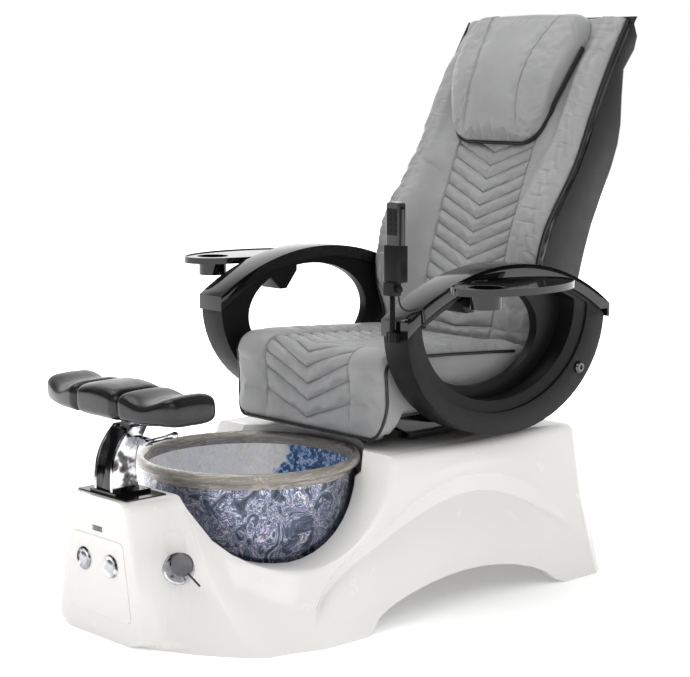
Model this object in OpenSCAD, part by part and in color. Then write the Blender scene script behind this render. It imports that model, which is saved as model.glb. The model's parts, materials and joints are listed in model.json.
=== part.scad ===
// Pedicure spa chair: a moulded base with a foot bowl and a leg-rest tower in front,
// and a massage chair with ring arms, fold-up trays and a handset on top of it.
// Millimetres. The sitter faces -Y, the sitter's left is +X and +Z is up.
// Sub-parts are drawn from the front face of the base (y = 0) and the floor (z = 0).

/* [Base] */
// Length of the base from its front face to its rear wall
base_len = 1281; // [1240:1:1320]
// Height of the platform that carries the chair
platform_h = 370; // [360:1:380]
// Half width of the platform at its top edge
platform_half_w = 322; // [312:1:330]
// Half width of the base at the floor
foot_half_w = 412; // [395:1:425]
// Wall of the moulded base
base_wall = 7; // [5:0.5:9]
// Height of the front tower
tower_h = 318; // [306:1:326]
// Half width of the tower at its top
tower_half_w = 105; // [100:1:112]
// Half width of the tower at the floor
tower_foot_half_w = 176; // [160:1:185]
// Depth of the tower from its front face to its back
tower_depth = 142; // [130:1:150]
// Height of the saddle between tower and platform
saddle_h = 147; // [140:1:156]
// Radius of the upper edges of the base
base_edge_r = 24; // [12:1:28]
// Height of the arched opening under each side
arch_h = 86; // [70:1:95]

/* [Bowl] */
// Distance from the front face to the centre of the bowl
bowl_y = 433; // [425:1:441]
// Outside radius of the bowl at its rim
bowl_r = 266; // [250:1:272]
// Height of the rim's top edge
bowl_top = 359; // [350:1:366]
// Height of the bowl's underside
bowl_bottom = 121; // [116:1:128]
// Radius of the bowl's flat bottom
bowl_base_r = 170; // [150:1:180]
// Wall of the bowl
bowl_wall = 9; // [6:0.5:12]
// Radius of the rolled rim's section
rim_r = 13; // [9:0.5:15]
// Radius of the drain hole in the bowl
drain_r = 24; // [18:0.5:30]

/* [Leg rest] */
// Length of the three pads together
pads_len = 470; // [440:2:500]
// Depth of the pads from front to back
pads_depth = 150; // [140:1:160]
// Height of the middle pad's crown above the floor
pads_top = 570; // [560:1:590]
// Distance from the front face to the middle of the pads
pads_y = 68; // [66:1:80]
// Lean of the leg-rest post back from vertical, degrees
post_lean = 20; // [14:0.5:22]
// Width of the post's outer cheeks at the bottom
post_w = 68; // [64:1:80]
// Thickness of each chrome cheek
cheek_t = 8; // [5:0.5:10]
// Travel of the leg rest up its post
post_travel = 60; // [20:5:60]

/* [Controls] */
// Radius of each push button's cap
button_r = 15; // [12:0.5:17]
// Travel of each push button
button_travel = 3; // [1:0.5:4]
// Height of the push buttons above the floor
button_z = 170; // [150:1:190]
// Half the distance between the push buttons
button_half_gap = 50; // [40:1:60]
// Radius of the mixer valve's body
valve_r = 20; // [16:0.5:21]
// Height of the mixer valve above the floor
valve_z = 172; // [162:1:182]
// Distance from the front face to the mixer valve
valve_y = 92; // [84:1:98]

/* [Seat] */
// Half width of the seat cushion
seat_half_w = 268; // [250:1:269]
// Distance from the front face to the front of the seat cushion
seat_front = 612; // [604:1:620]
// Height of the seat cushion's crown at the front
seat_top = 598; // [590:1:606]
// Height of the seat cushion's lower front edge
seat_low = 388; // [380:1:396]
// Radius of the piping along the cushions' seams
piping_r = 3; // [2:0.25:4]
// Height of the seat pan's top under the cushion
seat_pan_top = 452; // [446:1:460]
// Spacing of the sewn channels
channel_pitch = 42; // [36:1:50]
// Depth of the sewn channels
channel_depth = 6; // [2:0.5:9]
// Half width of the quilted panel
panel_half_w = 150; // [130:1:170]

/* [Back] */
// Distance from the front face to the foot of the back cushion
back_foot_y = 1122; // [1116:1:1132]
// Height of the back cushion's lower end
back_foot_z = 560; // [556:1:566]
// Height of the back cushion's upper end
back_top_z = 1378; // [1340:1:1390]
// How far the back's lower end stays inside the seat's width, on each side
back_low_inset = 6; // [5:1:14]
// How far the back's bolsters stand out beyond the seat's width, on each side
back_spread = 14; // [2:1:16]
// How far the back's upper end stands out beyond the seat's width, on each side
back_top_spread = 8; // [0:1:16]
// Thickness of the back cushion in its middle
back_thick = 45; // [36:1:56]
// Wall of the back shell
shell_wall = 4; // [3:0.5:6]
// Half width of the head pillow
pillow_half_w = 188; // [170:1:200]
// Height of the head pillow's lower edge
pillow_low_z = 1060; // [1050:1:1090]
// Thickness of the head pillow
pillow_thick = 70; // [55:1:80]
// Radius of the recline hinge's pins
recline_pin_r = 9; // [7:0.5:11]

/* [Arms] */
// Gap between the seat cushion and each arm
arm_gap = 25; // [22:1:29]
// Width of each arm
arm_width = 83; // [75:1:91]
// Half length of the arm ring
ring_a = 343; // [336:1:350]
// Half height of the arm ring
ring_b = 272; // [268:1:276]
// Radius of the arched cap's top
cap_r = 603; // [590:1:640]
// Thickness of the arched cap
cap_t = 30; // [24:1:34]
// Radius of the arm pivot's shaft
arm_pin_r = 11; // [8:0.5:13]

/* [Trays] */
// Half length of each tray
tray_a = 180; // [165:1:190]
// Half width of each tray
tray_b = 98; // [88:1:104]
// Thickness of each tray's plate
tray_t = 6; // [4:0.5:8]
// Height of each tray's raised rim
tray_rim = 16; // [12:0.5:20]
// Inside radius of each cup holder
cup_r = 33; // [28:0.5:36]
// Depth of each cup holder below the tray
cup_depth = 34; // [26:1:38]

/* [Handset] */
// Length of the handset
handset_len = 176; // [160:1:190]
// Width of the handset
handset_w = 46; // [40:1:50]
// Thickness of the handset
handset_t = 24; // [20:0.5:28]
// Travel of the handset out of its pouch
handset_travel = 90; // [20:5:100]

/* [Hidden] */
$fn = 48;

// Distance from the front face to the row's origin, half way along the whole object
row_centre_y = 780.15;
// Half widths of the back at its lower end, across its bolsters and at its upper end
back_low_half_w = seat_half_w - back_low_inset;
back_half_w = seat_half_w + back_spread;
back_top_half_w = seat_half_w + back_top_spread;
// Inner and outer face of each arm
arm_in = seat_half_w + arm_gap;
arm_out = arm_in + arm_width;
// Clearance of a turning or sliding fit, on the radius
fit = 0.05;
// Clearance left between soft pieces and what they lie against
soft_gap = 0.3;
// Clearance between neighbouring hard pieces that move past each other
run_gap = 0.4;

// ---------- helpers ----------
function superarc(t, p) = pow(max(0, 1 - pow(abs(t), p)), 1 / p);
function smooth(t) = let(c = min(1, max(0, t))) c * c * (3 - 2 * c);
function lerp(a, b, t) = a + (b - a) * t;
function ellipse(cy, cz, a, b,
    n) = [for (i = [0:n - 1]) [cy + a * cos(360 * i / n), cz + b * sin(360 * i / n)]];
function arc(cy, cz, r, a0, a1,
    n) = [for (i = [0:n]) let(a = lerp(a0, a1, i / n)) [cy + r * cos(a), cz + r * sin(a)]];
// Outline of a w by h rectangle with rounded corners, centred on the origin
function round_rect(w, h, r, n = 6) = concat(
    arc(w / 2 - r, h / 2 - r, r, 0, 90, n), arc(-w / 2 + r, h / 2 - r, r, 90, 180, n),
    arc(-w / 2 + r, -h / 2 + r, r, 180, 270, n), arc(w / 2 - r, -h / 2 + r, r, 270, 360, n));
// Triangles of a ring of m points: a fan from point tip, or, for split > 0, a strip between its first
// split points and the rest
function cap_faces(m, tip, split) = split > 0
    ? [for (i = [0:split - 2])
        let(k = m - split - 1, a = round(i * k / (split - 1)), b = round((i + 1) * k / (split - 1)))
        each concat([[i, i + 1, m - 1 - a]], b > a
            ? [for (j = [a:b - 1]) [i + 1, m - 2 - j, m - 1 - j]] : [])]
    : [for (j = [1:m - 2]) [tip, (tip + j) % m, (tip + j + 1) % m]];
// Faces of a tube of n rings with m points each. The diagonals are mirrored about the middle ring
// (mode 1) or about the middle point of every ring (mode 2)
function tube_faces(n, m, mode, cap) = concat(
    [for (i = [0:n - 2], j = [0:m - 1])
        let(a = i * m + j, b = a + m, d = i * m + (j + 1) % m, alt = mode == 1 ? 2 * i < n - 1
            : mode == 2 && 2 * j >= m)
        alt ? [a, b, d] : [a, b, d + m]],
    [for (i = [0:n - 2], j = [0:m - 1])
        let(a = i * m + j, b = a + m, d = i * m + (j + 1) % m, alt = mode == 1 ? 2 * i < n - 1
            : mode == 2 && 2 * j >= m)
        alt ? [b, d + m, d] : [a, d + m, d]],
    cap,
    [for (t = cap) (n - 1) * m * [1, 1, 1] + [t[0], t[2], t[1]]]);
module loft(rings, mode = 0, tip = 0, split = 0) {
    m = len(rings[0]);
    polyhedron([for (ring = rings) each ring], tube_faces(len(rings), m, mode, cap_faces(m, tip, split)));
}
// The same with the rings in the other order, for outlines that run the other way round
module back_loft(rings, mode = 0, split = 0)
    loft([for (i = [len(rings) - 1:-1:0]) rings[i]], mode, 0, split);
function unit(v) = v / norm(v);
function run_dir(p, i) = unit(p[min(i + 1, len(p) - 1)] - p[max(i - 1, 0)]);
// A round bead of radius r along the points p, each with its outward normal n
module bead(p, n, r, sides = 6) {
    loft([for (i = [0:len(p) - 1]) let(d = run_dir(p, i), b = unit(cross(d, n[i])), a = cross(b, d))
        [for (k = [0:sides - 1]) p[i] + r * (a * cos(360 * k / sides) + b * sin(360 * k / sides))]]);
}
module place() translate([0, -row_centre_y, 0]) children();
// An outline of [y, z] points, extruded from x0 to x1
module slab_x(x0, x1) translate([x0, 0, 0]) rotate([90, 0, 90]) linear_extrude(x1 - x0) children();
// An outline of [x, z] points, extruded from y0 to y1
module slab_y(y0, y1) translate([0, y1, 0]) rotate([90, 0, 0]) linear_extrude(y1 - y0) children();
module rod_x(x0, x1, y, z, r) translate([x0, y, z]) rotate([0, 90, 0]) cylinder(h = x1 - x0, r = r);
module rod_y(y0, y1, x, z, r) translate([x, y0, z]) rotate([-90, 0, 0]) cylinder(h = y1 - y0, r = r);

// ---------- base: the moulded form ----------
scoop_y = 365;
scoop_rear = 236;
crease_y = 830;
crease_h = 298;
skirt_y = 890;
skirt_h = 171;
arch_y = 790;
cove_depth = 26;
// Height of the base's upper edge: tower, saddle and platform
function top_z(y) =
    y <= tower_depth ? tower_h
    : y < scoop_y ? min(tower_h,
        platform_h - (platform_h - saddle_h) * superarc((scoop_y - y) / (scoop_y - tower_depth + 0.6), 2.4))
    : y < scoop_y + scoop_rear
        ? platform_h - (platform_h - saddle_h) * superarc((y - scoop_y) / scoop_rear, 1.6)
    : platform_h - 26 * pow(max(0, (y - (base_len - 110)) / 110), 3);
// The three arcs in each side: crease, skirt and opening
function side_arc(y, mid, h, front, rear, p, q) =
    h * (y < mid ? superarc((mid - y) / front, p) : superarc((y - mid) / rear, q));
function crease_z(y) = max(26, side_arc(y, crease_y, crease_h, 540, 372, 1.5, 2));
function skirt_z(y) = max(14, side_arc(y, skirt_y, skirt_h, 540, 330, 1.5, 1.5));
function arch_z(y) = side_arc(y, arch_y, arch_h, 340, 285, 1.8, 1.8);
function rear_taper(y) = 1 - 0.17 * pow(max(0, (y - (base_len - 70)) / 70), 2.5);
function low_half_w(y) = rear_taper(y) * (y < 200
    ? lerp(tower_foot_half_w, foot_half_w - 32, smooth(pow(y / 200, 0.9)))
    : lerp(foot_half_w - 32, foot_half_w, smooth((y - 200) / 120)));
function high_half_w(y) = rear_taper(y) * lerp(tower_half_w, platform_half_w,
    smooth((y - tower_depth) / 440));
function front_round(y, z) = let(r = 62) (1 - smooth(y / 70)) * (z < r
    ? r - sqrt(r * r - (r - z) * (r - z)) : 0);
function edge_inset(y) = let(r = 11) y < r ? r - sqrt(r * r - (r - y) * (r - y)) : 0;
function half_w(y, z) =
    lerp(high_half_w(y), low_half_w(y),
        pow(max(0, 1 - z / platform_h), 1.5)) - edge_inset(y) - front_round(y, z);
function cove(y) = cove_depth * smooth((crease_z(y) - skirt_z(y) - 30) / 60) * (1 - smooth((y - 1050) / 130));
function edge_r(y) = min(base_edge_r, 0.42 * (top_z(y) - crease_z(y)));
// Right half of the section at y, from the lower edge up to the middle; t insets it by the wall
function wall_top(y, t) = t == 0 ? top_z(y) : min(top_z(y - t), top_z(y), top_z(y + t)) - t;
function wall_x(y, z, t) = t == 0 ? half_w(y, z)
    : min(half_w(y - t, z), half_w(y, z), half_w(y + t, z)) - t;
function wall_cove(y, t) = t == 0 ? cove(y) : max(cove(y - t), cove(y), cove(y + t));
function half_section(y, t) =
    let(zt = wall_top(y, t), zc = min(crease_z(y), zt - 4), zs = min(skirt_z(y), zc - 3), za = arch_z(y),
        r = max(3, edge_r(y) - t), c = wall_cove(y, t))
    concat(
        [[wall_x(y, za, t), za], [wall_x(y, zs, t), zs]],
        [for (k = [0.3, 0.62, 0.88]) [wall_x(y, lerp(zs, zc, k), t) - c * sin(180 * pow(k, 1.6)),
            lerp(zs, zc, k)]],
        [[wall_x(y, zc, t), zc]],
        [for (k = [0.5]) [wall_x(y, lerp(zc, zt - r, k), t), lerp(zc, zt - r, k)]],
        [for (a = [0, 30, 60, 90]) [wall_x(y, zt - r, t) - r * (1 - cos(a)), zt - r * (1 - sin(a))]],
        [[0, zt]]);
function section(y, t) = let(h = half_section(y, t), n = len(h))
    [for (i = [0:n - 1]) [-h[i][0], y, h[i][1]], for (i = [n - 2:-1:0]) [h[i][0], y, h[i][1]]];
base_stations = concat([0, 2, 5, 11, 40, 75, 108, tower_depth - 1, tower_depth + 6],
    [for (k = [1:7]) lerp(tower_depth + 6, scoop_y, k / 7)],
    [for (k = [1:8]) lerp(scoop_y, scoop_y + scoop_rear, k / 8)],
    [for (k = [1:7]) lerp(scoop_y + scoop_rear, 1000, k / 7)],
    [for (y = [1040:30:base_len - 36]) y],
    [base_len - 27, base_len - 11, base_len]);
module base_loft(t, low) {
    rings = [for (y = base_stations)
        let(s = section(t == 0 ? y : t + y * (base_len - 2 * t) / base_len, t))
        [for (i = [0:len(s) - 1]) [s[i][0], s[i][1], (i == 0 || i == len(s) - 1) && low != 0 ? low
            : s[i][2]]]];
    loft(rings, 2, (len(rings[0]) - 1) / 2);
}
// Profile of the well that the bowl stands in, grown by g
well_gap = 9;
function well(g) = concat([[0, bowl_bottom - 1.5 - g]],
    [for (k = [0:9]) [well_gap + g + bowl_outer_r(k / 10),
        lerp(bowl_bottom - 1.5 - g, bowl_wall_top - 6, pow(k / 10, 1.35))]],
    [[bowl_r + 7 + g, bowl_wall_top - 22 - g], [bowl_r + 8 + g, platform_h + 6], [0, platform_h + 6]]);
module well_solid(g) translate([0, bowl_y, 0]) rotate_extrude($fn = 96) polygon(well(g));

panel_h = 176;
panel_mid_z = 140;
panel_t = 4;
panel_top_half_w = 96;
panel_low_half_w = 120;
panel_step = 1.5;
panel_gap = 0.25;
button_bore_r = button_r + 3;
knob_z = 188;
knob_y = 58;
knob_r = 13;
// Outline of the front panel, grown by g
function panel_outline(g) = let(r = 14 + g, h = panel_h / 2 - 14, a = panel_top_half_w - 14,
    b = panel_low_half_w - 14)
    concat(arc(a, panel_mid_z + h, r, 6, 90, 5), arc(-a, panel_mid_z + h, r, 90, 174, 5),
        arc(-b, panel_mid_z - h, r, 174, 270, 5), arc(b, panel_mid_z - h, r, 270, 366, 5));
valve_x = half_w(valve_y, valve_z);
valve_flange_r = valve_r + 15;
valve_tilt = 23.7;
valve_yaw = 30.5;
module valve_frame() translate([valve_x, valve_y, valve_z]) rotate([0, 0, -valve_yaw])
    rotate([0, 90 - valve_tilt, 0]) children();
knob_x = -half_w(knob_y, knob_z);
knob_tilt = 17.4;
knob_yaw = 25.2;
module knob_frame() translate([knob_x, knob_y, knob_z]) rotate([0, 0, knob_yaw])
    rotate([0, knob_tilt - 90, 0]) children();

module base_shell() {
    color("#f4f2ee") place() difference() {
        base_loft(0, 0);
        difference() {
            base_loft(base_wall, -5);
            well_solid(base_wall);
        }
        well_solid(0);
        // Seat of the front panel and the way through behind its buttons
        slab_y(-1, panel_t - panel_step + 0.001) polygon(panel_outline(panel_gap));
        slab_y(-1, base_wall + 6) square_at(0, button_z, 2 * (button_half_gap + button_bore_r) + 8,
            2 * button_bore_r + 10);
        // Spot faces and holes for the mixer valve and the knob, and the way through for the leg rest's stem
        valve_frame() translate([0, 0, -40]) cylinder(h = 80, r = valve_r + 1);
        valve_frame() translate([0, 0, -3]) cylinder(h = 40, r = valve_flange_r + 0.4);
        knob_frame() translate([0, 0, -40]) cylinder(h = 60, r = knob_r - 2);
        knob_frame() translate([0, 0, -2]) cylinder(h = 30, r = knob_r + 4.4);
        post_frame() stem_hole();
        translate([0, bowl_y, bowl_bottom - 30]) cylinder(h = 40, r = drain_r + 8);
    }
}
module square_at(x, z, w, h) translate([x - w / 2, z - h / 2]) square([w, h]);

module front_panel() {
    color("#f1efeb") place() difference() {
        slab_y(-panel_step, panel_t - panel_step) polygon(panel_outline(0));
        for (s = [-1, 1])
            rod_y(-10, 10, s * button_half_gap, button_z, button_bore_r);
    }
}

// ---------- base: frame and plumbing ----------
frame_tube = 25;
frame_x = 200;
frame_front_y = 740;
frame_rear_y = base_len - 116;
frame_top = platform_h - base_wall - 0.2;
module platform_frame() {
    color("#3c3f42") place() translate([0, 0, frame_top - frame_tube]) {
        for (s = [-1, 1])
            translate([s * frame_x - frame_tube / 2, frame_front_y, 0])
                cube([frame_tube, frame_rear_y - frame_front_y, frame_tube]);
        for (y = [frame_front_y, frame_rear_y - frame_tube])
            translate([-frame_x + frame_tube / 2, y, 0])
                cube([2 * frame_x - frame_tube, frame_tube, frame_tube]);
    }
}
// Outside and inside of the bowl's wall, from its foot to its rim
bowl_wall_top = bowl_top - rim_r;
function bowl_outer_r(k) = lerp(bowl_base_r, bowl_r - rim_r - 4, superarc(1 - k, 2.3));
function bowl_profile() = concat(
    [[drain_r, bowl_bottom]],
    [for (i = [0:10]) let(k = i / 10) [bowl_outer_r(k),
        lerp(bowl_bottom, bowl_wall_top - 6, pow(k, 1.35))]],
    arc(bowl_r - rim_r, bowl_wall_top, rim_r, -70, 180, 10),
    [for (i = [9:-1:0]) let(k = i / 10) [bowl_outer_r(k) - bowl_wall,
        bowl_wall + lerp(bowl_bottom, bowl_wall_top - 6, pow(k, 1.35))]],
    [[drain_r, bowl_bottom + bowl_wall]]);
module bowl() {
    color("#5a6c8c", 0.75) place()
        translate([0, bowl_y, 0]) rotate_extrude($fn = 96) polygon(bowl_profile());
}
module bowl_gasket() {
    color("#26282a") place()
        translate([0, bowl_y, bowl_bottom - 1.5]) difference() {
            cylinder(h = 1.5, r = bowl_base_r - 4);
            translate([0, 0, -1]) cylinder(h = 4, r = drain_r + 10);
        }
}
strainer_t = 2;
module drain_strainer() {
    color("#c9ccd0") place()
        translate([0, bowl_y, bowl_bottom + bowl_wall]) difference() {
            union() {
                cylinder(h = strainer_t, r = drain_r + 7);
                translate([0, 0, -bowl_wall - 24]) cylinder(h = bowl_wall + 24, r = drain_r);
            }
            translate([0, 0, -bowl_wall - 40]) cylinder(h = bowl_wall + 40, r = drain_r - 3);
            for (i = [0:7])
                rotate([0, 0, 45 * i]) translate([drain_r * 0.55, 0, -1]) cylinder(h = 6, r = 3.2);
        }
}
drain_pipe_r = 16;
drain_z = 84;
drain_len = 150;
// Elbow under the bowl, with a threaded collar round the strainer's tail
module drain_pipe() {
    color("#d8d8d6") place() {
        translate([0, bowl_y, drain_z]) difference() {
            union() {
                translate([0, 0, 8]) cylinder(h = 18, r = drain_r + 6);
                sphere(r = drain_pipe_r);
                cylinder(h = 12, r = drain_pipe_r);
                rotate([-90, 0, 0]) cylinder(h = drain_len, r = drain_pipe_r);
            }
            translate([0, 0, 11]) cylinder(h = 40, r = drain_r + fit);
            translate([0, 0, -1]) cylinder(h = 30, r = drain_pipe_r - 2.5);
            rotate([-90, 0, 0]) cylinder(h = 300, r = drain_pipe_r - 2.5);
        }
    }
}

// ---------- tower: cap, post and leg rest ----------
cap_plate_t = 3;
module tower_cap() {
    color("#4b4c4e") place() difference() {
        translate([-tower_half_w + 14, 14, tower_h])
            cube([2 * tower_half_w - 28, tower_depth - 34, cap_plate_t]);
        translate([0, 0, 0]) post_frame() stem_hole();
    }
}
post_y = 40;
post_z = tower_h + cap_plate_t;
foot_t = 7;
post_len = 148;
// The leaning frame of the post: its local +Z runs up the post
module post_frame() translate([0, post_y, post_z]) rotate([-post_lean, 0, 0]) children();
stem_w = 36;
stem_d = 26;
module stem_hole() translate([-stem_w / 2 - 1, -stem_d / 2 - 1, -90]) cube([stem_w + 2, stem_d + 2, 200]);
module post_foot() {
    color("#202123") place() difference() {
        translate([-post_w / 2 - 14, 16, post_z]) cube([post_w + 28, 96, foot_t]);
        post_frame() stem_hole();
        for (s = [-1, 1])
            translate([s * (post_w / 2 + 6), 98, post_z - 1]) cylinder(h = foot_t + 2, r = 3.2);
    }
}
// Side outline of a cheek: wide foot, swept-back blade and narrow top
function cheek_outline() = let(t = post_z + foot_t, z1 = post_z + post_len)
    concat([for (i = [0:8]) let(k = i / 8) [lerp(17, 72, pow(k, 3)), lerp(t, z1, k)]],
        [for (i = [8:-1:0]) let(k = i / 8) [lerp(92, 118, k) - 20 * sin(180 * k), lerp(t, z1, k)]]);
module cheek(s) {
    x = s * (post_w / 2 - cheek_t / 2);
    slab_x(x - cheek_t / 2, x + cheek_t / 2) polygon(cheek_outline());
}
module post_cheek_left() color("#d4d7db") place() cheek(1);
module post_cheek_right() color("#d4d7db") place() cheek(-1);
core_gap = 0;
module post_core() {
    color("#17181a") place() difference() {
        slab_x(-post_w / 2 + cheek_t, post_w / 2 - cheek_t)
            polygon(let(t = post_z + foot_t, z1 = post_z + post_len - 6)
                [[24, t], [34, lerp(t, z1, 0.5)], [60, z1], [106, z1], [88, lerp(t, z1, 0.5)], [84, t]]);
        post_frame() translate([-stem_w / 2 - fit, -stem_d / 2 - fit, -10])
            cube([stem_w + 2 * fit, stem_d + 2 * fit, 260]);
    }
}
plate_t = 8;
plate_z = post_z + post_len + 14;
function post_y_at(z) = post_y + (z - post_z) * tan(post_lean);
module footrest_stem() {
    color("#9fa3a8") place() intersection() {
        post_frame() translate([-stem_w / 2, -stem_d / 2, -80]) cube([stem_w, stem_d, 330]);
        translate([-100, -100, post_z - 78]) cube([200, 400, plate_z - post_z + 78]);
    }
}
plate_half_w = pads_len / 2 - 110;
module footrest_plate() {
    color("#1b1c1e") place()
        translate([0, post_y_at(plate_z), plate_z]) linear_extrude(plate_t)
            polygon(round_rect(2 * plate_half_w, 76, 18));
}
// Upper and lower height of the pads at x, and their section
function pad_top(x) = let(u = abs(x) / (pads_len / 2))
    pads_top - 16 * (1 - cos(420 * min(1, u))) / 2 - 8 * pow(u, 10);
function pad_low(x) = let(u = abs(x) / (pads_len / 2)) plate_z + plate_t + 4 * pow(u, 2) + 26 * pow(u, 14);
function pad_depth(x) = let(u = abs(x) / (pads_len / 2)) pads_depth / 2 * (1 - 0.25 * pow(u, 6));
function pad_mid_y(x) = pads_y + 26 * pow(x / (pads_len / 2), 2);
pad_sides = 20;
function pad_ring(x, k) = let(a = pad_low(x), b = pad_top(x), d = pad_depth(x) * k, h = (b - a) / 2)
    [for (i = [0:pad_sides - 1]) let(t = 360 * i / pad_sides + 9, c = cos(t), s = sin(t))
        [x, pad_mid_y(x) + d * sign(c) * pow(abs(c), 0.55) - 0.1 * h * s,
            max(a, (a + b) / 2 + h * (s > 0 ? 1 : 1.02) * k * sign(s) * pow(abs(s), 0.62))]];
function pad_columns(x0, x1, n) = [for (i = [0:n]) let(k = i / n) lerp(x0, x1, (1 - cos(180 * k)) / 2)];
module pad(x0, x1, n) {
    xs = pad_columns(x0, x1, n);
    loft([for (i = [0:n]) pad_ring(xs[i], i == 0 || i == n ? 0.86 : i == 1 || i == n - 1 ? 0.965 : 1)]);
}
pad_seam = pads_len * 0.16;
module pad_left() color("#1a1b1d") place() pad(pad_seam + soft_gap, pads_len / 2, 11);
module pad_centre() color("#1a1b1d") place() pad(-pad_seam + soft_gap, pad_seam - soft_gap, 10);
module pad_right() color("#1a1b1d") place() pad(-pads_len / 2, -pad_seam - soft_gap, 11);

lever_x = 63;
lever_z = 436;
lever_y = 94;
lever_len = 104;
lever_rise = 17;
lever_pin_r = 3;
// Two ears on the left cheek with the release lever's pin
module lever_clevis() {
    color("#aeb2b6") place() {
        for (e = [-1, 1]) {
            slab_y(lever_y + e * 8 - 2, lever_y + e * 8 + 2)
                polygon(concat([[post_w / 2, lever_z - 9]], arc(lever_x, lever_z, 8, -80, 80, 8),
                    [[post_w / 2, lever_z + 9]]));
        }
        rod_y(lever_y - 10, lever_y + 10, lever_x, lever_z, lever_pin_r);
    }
}
module footrest_lever() {
    color("#c4c7cb") place() difference() {
        translate([lever_x, lever_y, lever_z]) {
            rotate([90, 0, 0]) cylinder(h = 11, r = 7.5, center = true);
            rotate([0, 90 - lever_rise, 0]) {
                translate([0, 0, 2]) cylinder(h = lever_len - 26, r1 = 6, r2 = 5);
                translate([0, 0, lever_len - 32]) cylinder(h = 32, r1 = 5.5, r2 = 8);
                translate([0, 0, lever_len]) sphere(r = 8);
            }
        }
        rod_y(lever_y - 20, lever_y + 20, lever_x, lever_z, lever_pin_r + fit);
    }
}

// ---------- controls ----------
bezel_r = button_r + 11;
bezel_t = 4;
module button_bezels() {
    color("#c8cbcf") place()
        for (s = [-1, 1]) difference() {
            union() {
                translate([s * button_half_gap, -panel_step, button_z]) rotate([90, 0, 0])
                    rotate_extrude() polygon([[button_r + fit, 0], [bezel_r, 0], [bezel_r, 1.5],
                        [bezel_r - 3, bezel_t], [button_r + fit, bezel_t - 1]]);
                rod_y(-panel_step, 12, s * button_half_gap, button_z, button_bore_r);
            }
            rod_y(-20, 20, s * button_half_gap, button_z, button_r + fit);
        }
}
module push_button(s) intersection() {
    rod_y(-panel_step - bezel_t - button_travel + 0.5, 10 - button_travel, s * button_half_gap,
        button_z, button_r);
    translate([s * button_half_gap, 40 - panel_step - bezel_t - button_travel + 0.5, button_z])
        sphere(r = 40);
}
module button_left() color("#b4b7bb") place() push_button(1);
module button_right() color("#b4b7bb") place() push_button(-1);
module knob_bush() {
    color("#c8cbcf") place() knob_frame() difference() {
        union() {
            translate([0, 0, -2]) cylinder(h = 6, r = knob_r + 4);
            translate([0, 0, -24]) cylinder(h = 24, r = knob_r - 2.5);
        }
        translate([0, 0, -30]) cylinder(h = 60, r = 4 + fit);
    }
}
module side_knob() {
    color("#d0d3d7") place() knob_frame() difference() {
        union() {
            translate([0, 0, 4 + run_gap]) cylinder(h = 13, r = knob_r);
            translate([0, 0, -20]) cylinder(h = 37, r = 4);
        }
        for (i = [0:11])
            rotate([0, 0, 30 * i]) translate([knob_r + 0.6, 0, 3]) cylinder(h = 20, r = 1.6, $fn = 16);
    }
}
valve_out = 46;
module valve_escutcheon() {
    color("#c9ccd0") place() valve_frame() difference() {
        translate([0, 0, -3]) rotate_extrude()
            polygon([[valve_r + 0.3, 0], [valve_flange_r, 0], [valve_flange_r, 6],
                [valve_flange_r - 4, 11], [valve_r + 0.3, 13]]);
    }
}
module valve_body() {
    color("#d6d9dc") place() valve_frame() translate([0, 0, -34]) cylinder(h = 34 + valve_out, r = valve_r);
}
module valve_handle() {
    color("#3a3d41") place() valve_frame() translate([0, 0, valve_out + run_gap]) {
        rotate_extrude() polygon([[0, 0], [valve_r + 6, 0], [valve_r + 6, 9], [valve_r + 3, 13], [0, 13]]);
        rotate([0, 0, 35]) translate([valve_r + 4, 0, 6]) rotate([0, 68, 0]) cylinder(h = 40, r = 2.4);
    }
}

// ---------- seat ----------
rail_x = 180;
rail_front = 770;
rail_len = 380;
rail_w = 40;
rail_h = 18;
slide_len = 220;
slide_front = 850;
chassis_bottom = platform_h + rail_h + 6;
chassis_half_w = seat_half_w - 28;
chassis_front = 662;
chassis_rear = 1200;
pan_t = 12;
module seat_rails() {
    color("#2a2c2e") place()
        for (s = [-1, 1])
            translate([s * rail_x - rail_w / 2, rail_front, platform_h]) difference() {
                cube([rail_w, rail_len, rail_h]);
                translate([8, -1, 5]) cube([rail_w - 16, rail_len + 2, rail_h - 9]);
                translate([13, -1, 5]) cube([rail_w - 26, rail_len + 2, rail_h]);
            }
}
module seat_slides() {
    color("#8b8f94") place()
        for (s = [-1, 1])
            translate([s * rail_x, slide_front, platform_h + 5 + run_gap]) {
                translate([-rail_w / 2 + 8 + run_gap, 0, 0])
                    cube([rail_w - 16 - 2 * run_gap, slide_len, rail_h - 9 - 2 * run_gap]);
                translate([-rail_w / 2 + 13 + run_gap, 0, 0])
                    cube([rail_w - 26 - 2 * run_gap, slide_len, chassis_bottom - platform_h - 5 - run_gap]);
            }
}
// Boat-shaped side outline of the chassis
function chassis_outline() = let(z0 = chassis_bottom, z1 = seat_pan_top - pan_t)
    concat([[chassis_front, z1]],
        [for (i = [0:6]) let(k = i / 6) [lerp(chassis_front + 6, 760, k), z0 + 36 * pow(1 - k, 2)]],
        [[chassis_rear - 60, z0]],
        arc(chassis_rear - 40, z0 + 40, 40, -60, 0, 5), [[chassis_rear, z1]]);
module seat_chassis() {
    color("#111214") place() difference() {
        slab_x(-chassis_half_w, chassis_half_w) polygon(chassis_outline());
        translate([-chassis_half_w + 5, chassis_front + 14, chassis_bottom + 5])
            cube([2 * chassis_half_w - 10, chassis_rear - chassis_front - 28, 200]);
    }
}
module seat_pan() {
    color("#5a4a38") place()
        translate([-seat_half_w + 24, seat_front + 46, seat_pan_top - pan_t])
            linear_extrude(pan_t) translate([seat_half_w - 24, (back_foot_y - seat_front - 54) / 2])
                polygon(round_rect(2 * seat_half_w - 48, back_foot_y - seat_front - 54, 30));
}
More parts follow.
